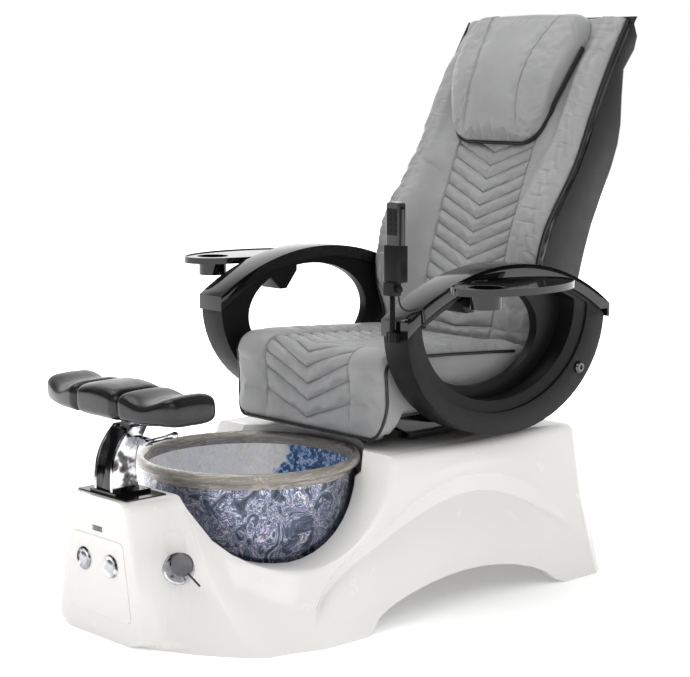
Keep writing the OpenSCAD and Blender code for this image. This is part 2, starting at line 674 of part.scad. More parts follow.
// Side outline of the seat cushion as a path: y, z and outward normal at length s from the rear
nose_r = 46;
tuck_r = 22;
seat_rear = back_foot_y - 14;
seat_fall = 26;
seat_flat = seat_rear - seat_front - nose_r;
seat_face = seat_top - nose_r - tuck_r - seat_low;
s_nose = seat_flat + nose_r * 1.5708;
s_face = s_nose + seat_face;
seat_len = s_face + tuck_r * 1.5708;
function seat_path(s) =
    s <= seat_flat ? let(y = seat_rear - s) [y, seat_top - seat_fall * pow(1 - s / seat_flat, 1.3), 0, 1]
    : s <= s_nose ? let(a = (s - seat_flat) / nose_r * 57.2958)
        [seat_front + nose_r - nose_r * sin(a), seat_top - nose_r + nose_r * cos(a), -sin(a), cos(a)]
    : s <= s_face ? let(k = (s - s_nose) / seat_face) [seat_front + 5 * sin(180 * k),
        seat_top - nose_r - k * seat_face, -1, 0]
    : let(a = min(90, (s - s_face) / tuck_r * 57.2958))
        [seat_front + tuck_r - tuck_r * cos(a), seat_low + tuck_r - tuck_r * sin(a), -cos(a), -sin(a)];
// Columns across a cushion: [x, drop of the rounded edge, quilting 0..1, seam 0..1]
function half_columns(w, r, panel, side) = concat(
    [for (k = [0:3]) [lerp(0, panel - 7, k / 3), 0, 1, 0]],
    [[panel, 0, 0.5, 1], [panel + 8, 0, 0, 0], [lerp(panel + 8, w - r, 0.5), 0, 0, 0]],
    [for (a = [0, 30, 60, 90]) [w - r + r * sin(a), r * (1 - cos(a)), 0, 0]],
    [[w + 1.5, r + side, 0, 0]]);
function columns(w, r, panel, side) = let(h = half_columns(w, r, panel, side), n = len(h))
    concat([for (i = [n - 1:-1:1]) [-h[i][0], h[i][1], h[i][2], h[i][3]]], h);
// Rows follow the chevrons: each V points down the front, so the rows drop towards the middle
chevron_slope = 0.45;
function chevron_lag(s, len, x, panel) = chevron_slope * min(abs(x),
    panel) * smooth(min(s / 150, (len - s) / 130));
function side_bulge(x, w, panel, h) = abs(x) > panel
    ? h * sin(180 * min(1, (abs(x) - panel) / (w - panel))) : 0;
seat_rows = 2 * round(seat_len / channel_pitch);
seat_edge_r = 28;
function seat_row(i, x) = let(s = i * seat_len / seat_rows) s - chevron_lag(s, seat_len, x, panel_half_w);
function seat_ring(c) = let(x = c[0])
    concat(
        [for (i = [0:seat_rows])
            let(p = seat_path(seat_row(i, x)), inner = i > 1 && i < seat_rows - 1 ? 1 : 0,
                g = c[1] + inner * (channel_depth * (c[2] * (i % 2) + c[3] * 0.7) - side_bulge(x,
                    seat_half_w, panel_half_w, 6)))
            [x, p[0] - p[2] * g, p[1] - p[3] * g]],
        [[x, seat_front + 45 + max(0, c[1] - 20), seat_low + c[1]],
            [x, seat_front + 46 + max(0, c[1] - 20), seat_pan_top + soft_gap],
            [x, seat_rear - 1, seat_pan_top + soft_gap]]);
module seat_cushion() {
    color("#a2a3a5") place()
        loft([for (c = columns(seat_half_w, seat_edge_r, panel_half_w, 16)) seat_ring(c)], 1, 0,
            seat_rows + 1);
}
// Piping: along both upper side edges, down the front corners and across the lower front edge
pipe_off = piping_r + soft_gap;
function seat_edge(i, sx) = let(p = seat_path(seat_row(i, seat_half_w)),
    x = seat_half_w - seat_edge_r * (1 - sin(60)),
    g = pipe_off * 0.5 - seat_edge_r / 2)
    [sx * (x + pipe_off * sin(60) + 0.4), p[0] + p[2] * g, p[1] + p[3] * g];
function seat_edge_n(i, sx) = let(p = seat_path(seat_row(i, seat_half_w))) [sx * sin(60), p[2] * 0.5,
    p[3] * 0.5];
seat_turn = seat_rows - 1;
function seat_sill(x) = let(p = seat_path(seat_row(seat_turn, seat_half_w)),
    d = abs(x) - (seat_half_w - seat_edge_r),
    g = d > 0 ? seat_edge_r - sqrt(seat_edge_r * seat_edge_r - d * d) : 0)
    [x, p[0] + p[2] * (pipe_off + 1.3 - g), p[1] + p[3] * (pipe_off + 1.3 - g)];
module seat_piping() {
    turn_x = seat_half_w - seat_edge_r * (1 - sin(60));
    xs = [for (k = [-1, -0.955, -0.9, -0.6, -0.3, 0, 0.3, 0.6, 0.9, 0.955, 1]) k * turn_x];
    np = seat_path(seat_row(seat_turn, seat_half_w));
    color("#141516") place() bead(
        concat([for (i = [2:seat_turn - 1]) seat_edge(i, -1)], [for (x = xs) seat_sill(x)],
            [for (i = [seat_turn - 1:-1:2]) seat_edge(i, 1)]),
        concat([for (i = [2:seat_turn - 1]) seat_edge_n(i, -1)], [for (x = xs) [0, np[2], np[3]]],
            [for (i = [seat_turn - 1:-1:2]) seat_edge_n(i, 1)]), piping_r);
}
plate_y0 = 1085;
hinge_y = 1150;
hinge_z = 500;
pivot_y = 1185;
pivot_z = 522;
side_plate_t = 5;
side_plate_x = seat_half_w + 4;
arm_stud = arm_out - 4 + run_gap;
// The side plates carry the recline hinge and the arms' shafts
module side_plate(s) {
    difference() {
        union() {
            slab_x(s > 0 ? side_plate_x : -side_plate_x - side_plate_t, s > 0
                ? side_plate_x + side_plate_t : -side_plate_x)
                polygon(concat([[plate_y0, chassis_bottom + 4]], [[1205, chassis_bottom + 4]],
                    arc(pivot_y, pivot_z, 32, -20, 100, 8), arc(hinge_y, hinge_z, 34, 120, 190, 6)));
            slab_x(s > 0 ? chassis_half_w : -side_plate_x - 0.001, s > 0 ? side_plate_x + 0.001
                : -chassis_half_w)
                square_at(1140, chassis_bottom + 22, 90, 30);
            rod_x(s > 0 ? side_plate_x : -arm_in + run_gap, s > 0 ? arm_in - run_gap
                : -side_plate_x, pivot_y, pivot_z, 24);
            rod_x(s > 0 ? side_plate_x : -arm_stud, s > 0 ? arm_stud : -side_plate_x, pivot_y, pivot_z,
                arm_pin_r);
        }
        rod_x(-400, 400, hinge_y, hinge_z, recline_pin_r + fit);
    }
}
module side_plate_left() color("#26282b") place() side_plate(1);
module side_plate_right() color("#26282b") place() side_plate(-1);

// ---------- back ----------
// Front surface of the middle of the back at height z, and its normal
function back_y(z) = let(t = z - back_foot_z + 10) back_foot_y + 0.16 * t + 0.00029 * t * t;
function back_slope(z) = 0.16 + 0.00058 * (z - back_foot_z + 10);
function back_normal(z) = let(m = back_slope(z), l = sqrt(1 + m * m)) [-1 / l, m / l];
function back_w(z) = lerp(lerp(back_low_half_w, back_half_w, smooth((z - 575) / 130)), back_top_half_w,
    smooth((z - 800) / 480));
// How far the side bolsters stand forward of the middle, and the depth of the shell's front edge
function bolster(z) = 56 * smooth((z - 540) / 210) * (1 - smooth((z - 800) / 260));
back_edge_r = 26;
function lip(z) = (back_edge_r + 10 - bolster(z)) * norm([1, back_slope(z)]);
// Depth at which the cushion ends and the shell begins, at u across
function joint_depth(u, z) = lerp(back_thick, lip(z), smooth((abs(u) - 0.84) / 0.08));
joint_gap = 2;
// Depth of the shell behind the front surface: waist, shoulders and head part
function shell_depth(z) = lookup(z,
    [[578, 150], [640, 170], [720, 186], [840, 190], [950, 208], [1035, 222], [1105, 206],
    [1180, 172], [1250, 140], [1300, 152], [1335, 142], [1365, 100], [1386, 76]]);
shell_zs = [578, 610, 645, 685, 725, 760, 800, 860, 930, 1000, 1060, 1110, 1180, 1250, 1300, 1335,
    1365, 1384];
seam_zs = [572, 610, 665, 725, 800, 860, 930, 1000, 1060, 1220, 1370];
ear_x = seat_half_w - 28;
ear_t = 6;
bar_z = 640;
// Ears on the recline hinge, a cross bar and two uprights inside the shell
module back_frame() {
    color("#303336") place() {
        for (s = [-1, 1]) mirror([s > 0 ? 0 : 1, 0, 0]) {
            slab_x(ear_x, ear_x + ear_t)
                polygon(concat(arc(hinge_y, hinge_z, 20, 160, 330, 8),
                    [[1214, 578], [back_y(bar_z) + 76, bar_z - 14], [back_y(bar_z) + 76, bar_z + 14],
                        [back_y(bar_z) + 46, bar_z + 14], [back_y(bar_z) + 46, bar_z - 14], [1172, 572]]));
            slab_x(180, 204)
                polygon([[back_y(bar_z) + 54, bar_z + 11], [back_y(bar_z) + 74, bar_z + 11],
                    [back_y(1150) + 88, 1150], [back_y(1150) + 68, 1150]]);
            rod_x(ear_x + ear_t, side_plate_x - run_gap, hinge_y, hinge_z, recline_pin_r + 5);
            rod_x(side_plate_x - 1, side_plate_x + side_plate_t + 4, hinge_y, hinge_z, recline_pin_r);
        }
        translate([-ear_x - 1, back_y(bar_z) + 46.3, bar_z - 12]) cube([2 * ear_x + 2, 24, 24]);
        translate([-190, back_y(1150) + 69, 1126]) cube([380, 12, 22]);
    }
}
// Loop of the shell's outline at u across: up its rear face, over the top lip and down its inside
function rear_y(u, z) = back_y(z) + max(lip(z) + 8, shell_depth(z) - 62 * pow(abs(u), 8));
function shell_inner(u, z, open) = [u * (back_w(z) - 2),
    open > 0 ? max(back_y(z) + joint_depth(u, z) + 2, rear_y(u, z) - shell_wall)
        : back_y(z) + joint_depth(u, z), z];
function shell_ring(u, closed) = let(n = len(shell_zs), z0 = shell_zs[0], z1 = shell_zs[n - 1])
    concat(
        [[u * (back_w(z0) - 2), back_y(z0) + joint_depth(u, z0), z0]],
        [for (z = shell_zs) [u * (back_w(z) - 2), rear_y(u, z), z]],
        [[u * (back_w(z1) - 2), back_y(z1) + joint_depth(u, z1), z1]],
        [shell_inner(u, z1 - shell_wall, 0)],
        [for (i = [n - 2:-1:1]) shell_inner(u, shell_zs[i], closed ? 0 : 1)],
        [shell_inner(u, z0 + shell_wall + (closed ? 1 : 0), closed ? 0 : 1),
            shell_inner(u, z0 + shell_wall, 0)]);
module back_shell() {
    edge = 1 - shell_wall / back_half_w;
    half = [0.12, 0.4, 0.62, 0.76, 0.86, 0.93, edge - 0.004];
    us = concat([-1, -edge], [for (i = [6:-1:0]) -half[i]], half, [edge, 1]);
    n = len(us) - 1;
    color("#1d1e20") place() difference() {
        loft([for (i = [0:n]) shell_ring(us[i], i < 2 || i > n - 2)], 0, 0, len(shell_zs) + 1);
        // Slots in the bottom wall for the ears
        for (s = [-1, 1])
            translate([s > 0 ? ear_x - soft_gap : -ear_x - ear_t - soft_gap, 1160, 570])
                cube([ear_t + 2 * soft_gap, 66, 24]);
    }
}
// Path of the back cushion: up the front at arc length s
back_len = (back_top_z - back_foot_z) / cos(25);
function back_path(s) = let(z = lerp(back_foot_z, back_top_z, s / back_len),
    n = back_normal(z)) [back_y(z), z, n[0], n[1]];
back_rows = 2 * round(back_len / channel_pitch);
back_panel = panel_half_w * 0.88;
quilt_top = pillow_low_z + 60;
function back_row(i, x) = let(s = i * back_len / back_rows) s + chevron_lag(s, back_len, x, back_panel);
function back_bolster(x, z) = bolster(z) * smooth((abs(x) - back_panel - 12) / 66);
function back_ring(c) =
    concat(
        [for (i = [0:back_rows])
            let(p = back_path(back_row(i, c[0])), x = c[0] * back_w(p[1]) / back_half_w,
                inner = i > 0 && i < back_rows ? 1 : 0,
                quilt = p[1] < quilt_top ? 1 : 0,
                g = c[1] - back_bolster(c[0], p[1]) + (1 - inner) * max(0.5, 10 - c[1] * 0.38)
                    + inner * channel_depth * (c[2] * (i % 2) * quilt + c[3] * 0.7))
            [x, p[0] - p[2] * g, p[1] - p[3] * g]],
        [for (k = [len(seam_zs) - 1:-1:0])
            let(z = seam_zs[k], x = 0.988 * c[0] * back_w(z) / back_half_w,
                d = joint_depth(abs(c[0]) / back_half_w + 0.035, max(578, z)) - joint_gap)
            [x, back_y(z) + d, z]]);
module back_cushion() {
    color("#a2a3a5") place()
        back_loft([for (c = columns(back_half_w, back_edge_r, back_panel, 1)) back_ring(c)], 1,
        back_rows + 1);
}
// Piping down each side of the back, against the rounded edge
function back_edge(i) = let(p = back_path(back_row(i, back_half_w)), k = back_w(p[1]) / back_half_w,
    x = (back_half_w - back_edge_r * (1 - sin(60))) * k, g = pipe_off / 2 - back_edge_r / 2 + bolster(p[1]))
    [x + pipe_off * sin(60) + 0.5, p[0] + p[2] * g, p[1] + p[3] * g];
function back_edge_n(i) = let(p = back_path(back_row(i, back_half_w))) [sin(60), p[2] * 0.5, p[3] * 0.5];
module back_piping(s) mirror([s > 0 ? 0 : 1, 0, 0])
    bead([for (i = [1:back_rows - 1]) back_edge(i)], [for (i = [1:back_rows - 1]) back_edge_n(i)],
        piping_r);
module back_piping_left() color("#141516") place() back_piping(1);
module back_piping_right() color("#141516") place() back_piping(-1);
// Head pillow: lies on the back cushion and rolls over its top
pillow_rows = 14;
pillow_edge_r = 30;
pillow_top_z = back_top_z - 2;
function pillow_swell(k) = k < 0.55 ? superarc(1 - k / 0.55, 1.9) : 1 - 0.28 * pow((k - 0.55) / 0.45, 2);
function pillow_point(x, k, e) = let(z = lerp(pillow_low_z + e * 0.5, pillow_top_z, k), n = back_normal(z),
    g = max(5, 5 + (pillow_thick - 5) * pillow_swell(k) - e - 6 * pow(x / pillow_half_w, 2)))
    [x, back_y(z) + n[0] * g, z + n[1] * g];
function pillow_ring(c) = let(x = c[0], e = c[1])
    concat([for (i = [0:pillow_rows]) pillow_point(x, i / pillow_rows, e)],
        [for (g = [0.6, 0.25]) let(n = back_normal(pillow_top_z), h = (pillow_thick * 0.72 - e) * g)
            [x, back_y(pillow_top_z) + n[0] * h + 10 * (1 - g), pillow_top_z + n[1] * h + 10 * (1 - g)]],
        [for (i = [pillow_rows:-2:0])
            let(z = lerp(pillow_low_z + e * 0.5, pillow_top_z, i / pillow_rows), n = back_normal(z),
                g = soft_gap)
            [x, back_y(z) + n[0] * g, z + n[1] * g]]);
function pillow_columns() = let(w = pillow_half_w, r = pillow_edge_r, h = concat(
    [for (k = [0:3]) [k / 3 * (w - r) * 0.9, 0]],
        [for (a = [0, 30, 60, 90]) [w - r + r * sin(a), r * (1 - cos(a))]]), n = len(h))
    concat([for (i = [n - 1:-1:1]) [-h[i][0], h[i][1]]], h);
module head_pillow() {
    color("#a0a1a3") place() back_loft([for (c = pillow_columns()) pillow_ring(c)], 1, pillow_rows + 1);
}
// Piping round the pillow's front: down one side, round the corner and across the lower edge
function pillow_pipe(sx, k) = let(a = 60, r = pillow_edge_r, x = pillow_half_w - r + r * sin(a),
    e = r * (1 - cos(a)),
    p = pillow_point(sx * x, k, e), n = back_normal(p[2]))
        p + pipe_off * [sx * sin(a), n[0] * cos(a), n[1] * cos(a)];
function pillow_pipe_n(sx, k) = let(p = pillow_point(0, k, 0), n = back_normal(p[2])) [sx * sin(60),
    n[0] * 0.5, n[1] * 0.5];
function pillow_low_at(x, dz) = let(z = pillow_low_z + dz - pipe_off - 0.6) [x, back_y(z) - 3.9, z];
function pillow_side(sx) = [for (k = [pillow_rows:-1:3]) pillow_pipe(sx, k / pillow_rows)];
function pillow_corner(sx) = [pillow_low_at(sx * (pillow_half_w + 5), 58) - [0, 14, 0],
    pillow_low_at(sx * (pillow_half_w + 4.5), 32) - [0, 6, 0],
    pillow_low_at(sx * (pillow_half_w + 3), 15), pillow_low_at(sx * (pillow_half_w - 4), 6.5),
        pillow_low_at(sx * (pillow_half_w - 15), 2)];
module pillow_piping() {
    w = pillow_half_w - pillow_edge_r - 6;
    low = [for (k = [-3:3]) pillow_low_at(k / 3 * w, 0)];
    left = concat(pillow_side(-1), pillow_corner(-1));
    right = concat(pillow_side(1), pillow_corner(1));
    m = len(left);
    nl = [for (k = [pillow_rows:-1:3]) pillow_pipe_n(-1, k / pillow_rows)];
    nr = [for (k = [pillow_rows:-1:3]) pillow_pipe_n(1, k / pillow_rows)];
    corner_n = [for (a = [70, 66, 55, 40, 15]) [sin(a), -0.4, -cos(a)]];
    color("#141516") place() bead(
        concat(left, low, [for (i = [m - 1:-1:0]) right[i]]),
        concat(nl, [for (n = corner_n) unit([-n[0], n[1], n[2]])], [for (p = low) unit([0, -0.4, -1])],
            [for (i = [4:-1:0]) unit(corner_n[i])], [for (i = [len(nr) - 1:-1:0]) nr[i]]), piping_r);
}

// ---------- arms ----------
ring_y = 935;
ring_z = 660;
hole_y = 885;
hole_z = 627;
hole_a = 204;
hole_b = 124;
recess_y = 905;
recess_z = 680;
recess_a = 264;
recess_b = 207;
step_a = 300;
step_b = 236;
web_t = 24;
step_t = 5;
ring_n = 72;
cap_centre_z = 794 - cap_r;
cap_apex_y = 932;
cap_front = 588;
cap_rear = 1295;
module under_cap(r) translate([cap_apex_y, cap_centre_z]) circle(r = r, $fn = 180);
module arm_ring(s) {
    mirror([s > 0 ? 0 : 1, 0, 0]) difference() {
        slab_x(arm_in, arm_out - 4) intersection() {
            polygon(ellipse(ring_y, ring_z, ring_a, ring_b, ring_n));
            under_cap(cap_r - cap_t - 0.15);
        }
        slab_x(arm_in - 1, arm_out) polygon(ellipse(hole_y, hole_z, hole_a, hole_b, ring_n));
        slab_x(arm_in + web_t, arm_out) intersection() {
            polygon(ellipse(recess_y, recess_z, recess_a, recess_b, ring_n));
            under_cap(cap_r - cap_t - 18);
        }
        slab_x(arm_out - 4 - step_t, arm_out) intersection() {
            polygon(ellipse(recess_y + 8, recess_z, step_a, step_b, ring_n));
            under_cap(cap_r - cap_t - 10);
        }
        rod_x(arm_in - 1, arm_out + 1, pivot_y, pivot_z, arm_pin_r + fit);
    }
}
module arm_ring_left() color("#2b2c2e") place() arm_ring(1);
module arm_ring_right() color("#2b2c2e") place() arm_ring(-1);
// Arched cap over the ring, ending in a square block in front and a short lip behind
module arm_cap(s) {
    mirror([s > 0 ? 0 : 1, 0, 0]) difference() {
        slab_x(arm_in - 4, arm_out) difference() {
            intersection() {
                translate([cap_front, 640]) square([cap_rear - cap_front, 200]);
                under_cap(cap_r);
            }
            under_cap(cap_r - cap_t);
            translate([cap_front + 26, 600]) square([cap_rear - cap_front - 34, 60]);
        }
        slab_x(arm_in - 0.2, arm_out - 3.8) intersection() {
            polygon(ellipse(ring_y, ring_z, ring_a + 0.2, ring_b + 0.2, ring_n));
            under_cap(cap_r - cap_t);
        }
    }
}
module arm_cap_left() color("#0c0d0e") place() arm_cap(1);
module arm_cap_right() color("#0c0d0e") place() arm_cap(-1);
bolt_head_r = 15;
module arm_bolt(s) {
    mirror([s > 0 ? 0 : 1, 0, 0])
        translate([arm_stud, pivot_y, pivot_z]) rotate([0, 90, 0]) difference() {
            rotate_extrude() polygon([[0, 0], [bolt_head_r, 0], [bolt_head_r, 3], [bolt_head_r - 4, 8],
                [0, 8]]);
            translate([0, 0, 4]) cylinder(h = 8, r = 6, $fn = 6);
        }
}
module arm_bolt_left() color("#4a4c4f") place() arm_bolt(1);
module arm_bolt_right() color("#4a4c4f") place() arm_bolt(-1);

// ---------- trays ----------
tray_y = 818;
tray_z = 752;
tray_hinge_x = arm_out + 14;
tray_x = tray_hinge_x + 93;
tray_hinge_z = 760;
tray_pin_r = 4;
bracket_y = 800;
bracket_half = 46;
lug_half = 14;
knuckle = 13;
// Wedge in the ring under the cap, with an outboard lug that carries the tray and its hinge pin
module bracket_wedge()
    polygon([[bracket_y - bracket_half, 775], [bracket_y - bracket_half, 724], [bracket_y - 10, 690],
    [bracket_y + 10, 690], [bracket_y + bracket_half, 735], [bracket_y + bracket_half, 775]]);
module tray_bracket(s) {
    mirror([s > 0 ? 0 : 1, 0, 0]) {
        slab_x(arm_in + web_t + 0.3, arm_out - 10) intersection() {
            bracket_wedge();
            under_cap(cap_r - cap_t - 18.3);
        }
        slab_x(arm_in + 3, arm_in + web_t + 0.3) intersection() {
            bracket_wedge();
            polygon(ellipse(hole_y, hole_z, hole_a - 0.4, hole_b - 0.4, ring_n));
        }
        slab_y(bracket_y - lug_half, bracket_y + lug_half)
            translate([tray_hinge_x, tray_hinge_z]) polygon([[-40, -36], [-40, -56], [2, -56], [38, -22],
                [38, tray_z - soft_gap - tray_hinge_z], [9, tray_z - soft_gap - tray_hinge_z],
                [7, 7], [-7, 7], [-7, -18], [-12, -36]]);
        rod_y(bracket_y - lug_half - knuckle - 2, bracket_y + lug_half + knuckle + 2, tray_hinge_x,
            tray_hinge_z, tray_pin_r);
    }
}
module tray_bracket_left() color("#101112") place() tray_bracket(1);
module tray_bracket_right() color("#101112") place() tray_bracket(-1);
cup_y = tray_y - 96;
cup_x = tray_x + 6;
cup_wall = 3;
function tray_outline(g) = ellipse(0, 0, tray_b + g, tray_a + g, 64);
// Oval dish with a raised rim, a hole for the cup and two hinge knuckles on its inner edge
module tray(s) {
    mirror([s > 0 ? 0 : 1, 0, 0]) difference() {
        union() {
            translate([tray_x, tray_y, tray_z]) difference() {
                linear_extrude(tray_rim) polygon(tray_outline(0));
                translate([0, 0, tray_t]) linear_extrude(tray_rim) polygon(tray_outline(-5));
            }
            for (e = [-1, 1])
                translate([tray_hinge_x, bracket_y + e * (lug_half + run_gap + knuckle / 2), tray_hinge_z])
                    rotate([90, 0, 0]) cylinder(h = knuckle, r = 7.5, center = true);
        }
        translate([cup_x, cup_y, tray_z - 1]) cylinder(h = 40, r = cup_r + cup_wall);
        translate([tray_hinge_x - 20, bracket_y - lug_half - run_gap, tray_z - 5])
            cube([30.5, 2 * lug_half + 2 * run_gap, 40]);
        rod_y(bracket_y - 29, bracket_y + 29, tray_hinge_x, tray_hinge_z, tray_pin_r + fit);
    }
}
module tray_left() color("#0b0c0d") place() tray(1);
module tray_right() color("#0b0c0d") place() tray(-1);
module cup(s) {
    mirror([s > 0 ? 0 : 1, 0, 0]) translate([cup_x, cup_y, tray_z - cup_depth]) difference() {
        union() {
            cylinder(h = cup_depth + tray_t, r = cup_r + cup_wall);
            translate([0, 0, cup_depth + tray_t]) cylinder(h = 4, r = cup_r + cup_wall + 3);
        }
        translate([0, 0, cup_wall]) cylinder(h = 80, r = cup_r);
        for (i = [0:3])
            rotate([0, 0, 90 * i + 45]) translate([cup_r * 0.55, 0, -1]) cylinder(h = 8, r = 4);
    }
}
module cup_left() color("#0d0e0f") place() cup(1);
module cup_right() color("#0d0e0f") place() cup(-1);

// ---------- handset ----------
stalk_x = arm_in + 43;
stalk_r = 7;
stalk_y = cap_front - 10;
stalk_low = 640;
stalk_top = 772;
rib_pitch = 5;
handset_x = stalk_x;
handset_y = stalk_y + 10;
handset_low = 779;
// Ribbed gooseneck on a clamp that is screwed to the cap's front block
module handset_stalk() {
    color("#1c1d1f") place() {
        ribs = floor((stalk_top - stalk_low - 26) / rib_pitch);
        translate([stalk_x, stalk_y, stalk_low])
            rotate_extrude($fn = 24) polygon(concat([[0, 0], [stalk_r + 1.5, 0], [stalk_r + 1.5, 20]],
                [for (i = [0:ribs - 1], e = [0, 1]) [stalk_r - 1.6 * e, 22 + rib_pitch * (i + 0.5 * e)]],
                [[stalk_r, stalk_top - stalk_low], [0, stalk_top - stalk_low]]));
        difference() {
            translate([stalk_x - 15, stalk_y - 4, stalk_low]) cube([30, 13.85, 22]);
            translate([stalk_x, stalk_y, stalk_low - 1]) cylinder(h = 30, r = stalk_r + 1);
        }
    }
}
pouch_t = 3;
cord_hole_y = 8;
cord_r = 2.2;
pouch_h = 82;
module handset_holder() {
    color("#18191a") place()
        translate([handset_x, handset_y, handset_low - pouch_t]) {
            difference() {
                linear_extrude(pouch_h)
                    polygon(round_rect(handset_w + 2 * pouch_t + 1, handset_t + 2 * pouch_t + 1, 7));
                translate([0, 0, pouch_t]) linear_extrude(pouch_h)
                    polygon(round_rect(handset_w + 1, handset_t + 1, 5));
                translate([0, cord_hole_y, -1]) cylinder(h = 10, r = cord_r + 1);
            }
            // Clamp under the pouch, with its thumb screw
            translate([-16, stalk_y - handset_y - 13, -30]) difference() {
                cube([32, 25, 30]);
                translate([16, 13, -1]) cylinder(h = 30 - pouch_t + 0.3, r = stalk_r + 0.2);
            }
            translate([16, stalk_y - handset_y, -15]) rotate([0, 90, 0]) cylinder(h = 9, r = 8);
        }
}
module handset_body() {
    translate([handset_x, handset_y, handset_low + run_gap]) difference() {
        intersection() {
            linear_extrude(handset_len) polygon(round_rect(handset_w, handset_t, 8));
            // Rounded upper corners
            rotate([90, 0, 0]) linear_extrude(handset_t + 2, center = true) {
                translate([-handset_w / 2 - 1, -1]) square([handset_w + 2, handset_len - 15]);
                translate([-handset_w / 2 + 16, 0]) square([handset_w - 32, handset_len]);
                for (s = [-1, 1])
                    translate([s * (handset_w / 2 - 16), handset_len - 16]) circle(r = 16);
            }
        }
        translate([-handset_w / 2 + 7, -handset_t / 2 - 0.01, handset_len - 74])
            cube([handset_w - 14, 1.2, 60]);
    }
}
module handset() color("#151617") place() handset_body();
module handset_keypad() {
    color("#2d2f31") place()
        translate([handset_x - handset_w / 2 + 7, handset_y - handset_t / 2 - 0.6,
            handset_low + run_gap + handset_len - 74]) {
            cube([handset_w - 14, 1.79, 60]);
            for (i = [0:1], j = [0:3])
                translate([9 + 14 * i, 0, 9 + 14 * j]) rotate([90, 0, 0]) cylinder(h = 1, r = 4.5);
        }
}
// The handset's cord: down from the pouch, over the cap and round its outer edge
cord_sides = 8;
// Points of the cord, from the pouch down and round to the arm, with x counted from the stalk
cord_route = [for (p = [
    [0, 596, 779], [0, 596, 772], [0, 596.5, 760], [0, 597, 748], [0.5, 598, 736], [2, 600, 725],
    [6, 603, 716], [12, 608, 711], [19, 613, 710], [26, 618, 712], [33, 623, 715],
    [39, 627, 716], [43.5, 631, 712], [45, 634, 704], [45, 637, 695], [45, 639, 686],
    [44.5, 640.5, 677], [41.5, 641, 671.4], [36.2, 641, 671]])
    [stalk_x + p[0], p[1], p[2]]];
function cord_dir(i) = unit(cord_route[min(i + 1, len(cord_route) - 1)] - cord_route[max(i - 1, 0)]);
function cord_ring(i) = let(d = cord_dir(i), a = unit(cross(d, [0.3, 1, 0.1])), b = cross(d, a))
    [for (k = [0:cord_sides - 1])
        cord_route[i] + cord_r * (a * cos(360 * k / cord_sides) + b * sin(360 * k / cord_sides))];
module handset_cord() {
    color("#101112") place() loft([for (i = [0:len(cord_route) - 1]) cord_ring(i)]);
}

base_shell();
front_panel();
platform_frame();
bowl();
bowl_gasket();
drain_strainer();
drain_pipe();
tower_cap();
post_foot();
post_cheek_left();
post_cheek_right();
post_core();
footrest_stem();
footrest_plate();
pad_left();
pad_centre();
pad_right();
lever_clevis();
footrest_lever();
button_bezels();
button_left();
button_right();
knob_bush();
side_knob();
valve_escutcheon();
valve_body();
valve_handle();
seat_rails();
seat_slides();
seat_chassis();
seat_pan();
seat_cushion();
seat_piping();
side_plate_left();
side_plate_right();
back_frame();
back_shell();
back_cushion();
back_piping_left();
back_piping_right();
head_pillow();
pillow_piping();
arm_ring_left();
arm_ring_right();
arm_cap_left();
arm_cap_right();
arm_bolt_left();
arm_bolt_right();
tray_bracket_left();
tray_bracket_right();
tray_left();
tray_right();
cup_left();
cup_right();
handset_stalk();
handset_holder();
handset();
handset_keypad();
handset_cord();
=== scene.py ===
"""Looks of the pedicure spa chair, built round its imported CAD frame.

Lengths in the drawing functions are the part's own millimetres, measured from the front face of the base
(y = 0), the mid plane (x = 0) and the floor (z = 0). row() turns them into the frame's metres.
"""
import json
import math

import bpy
import numpy as np
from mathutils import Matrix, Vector


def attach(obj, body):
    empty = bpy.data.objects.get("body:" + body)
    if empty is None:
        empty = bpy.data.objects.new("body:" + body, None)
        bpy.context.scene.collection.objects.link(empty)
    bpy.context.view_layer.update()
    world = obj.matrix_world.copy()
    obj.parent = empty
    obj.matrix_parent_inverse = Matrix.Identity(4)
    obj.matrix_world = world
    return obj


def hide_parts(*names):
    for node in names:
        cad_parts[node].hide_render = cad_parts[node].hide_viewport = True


ROW_CENTRE_Y = 780.15
LOOKING = (-0.735, 0.678, 0)  # the camera's direction along the floor
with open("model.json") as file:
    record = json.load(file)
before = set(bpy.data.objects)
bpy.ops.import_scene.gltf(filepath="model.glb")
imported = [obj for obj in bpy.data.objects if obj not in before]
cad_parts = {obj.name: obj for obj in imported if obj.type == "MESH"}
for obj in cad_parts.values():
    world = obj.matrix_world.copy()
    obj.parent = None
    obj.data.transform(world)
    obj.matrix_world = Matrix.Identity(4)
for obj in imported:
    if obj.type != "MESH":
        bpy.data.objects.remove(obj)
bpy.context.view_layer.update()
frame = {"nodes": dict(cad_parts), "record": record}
nodes = frame["nodes"]
slot_of = {s["node"]: s["material_slot"] for s in frame["record"]["subparts"]}


def row(points):
    """Drawing millimetres to row metres."""
    return (np.asarray(points, float) - (0, ROW_CENTRE_Y, 0)) * 0.001


def smooth(t):
    """Smooth step from 0 to 1 as t goes from 0 to 1."""
    t = np.clip(t, 0, 1)
    return t * t * (3 - 2 * t)


def lerp(a, b, t):
    return a + (b - a) * t


def unit(v):
    return v / np.linalg.norm(v, axis=-1, keepdims=True)


def value_noise(p, seed=0):
    """Smooth noise in -1..1 at points p (..., 3), the same on every run."""
    cell = np.floor(p).astype(np.int64)
    f = p - cell
    f = f * f * (3 - 2 * f)
    total = 0
    for corner in np.ndindex(2, 2, 2):
        c = cell + corner
        h = (c[..., 0] * 374761393 + c[..., 1] * 668265263 + c[..., 2] * 2147483647 + seed * 144269504) & 0xFFFFFFFF
        h = ((h ^ (h >> 13)) * 1274126177) & 0xFFFFFFFF
        h = (h ^ (h >> 16)) & 0xFFFF
        w = np.prod(np.where(np.array(corner) == 1, f, 1 - f), axis=-1)
        total = total + w * (h / 32767.5 - 1)
    return total


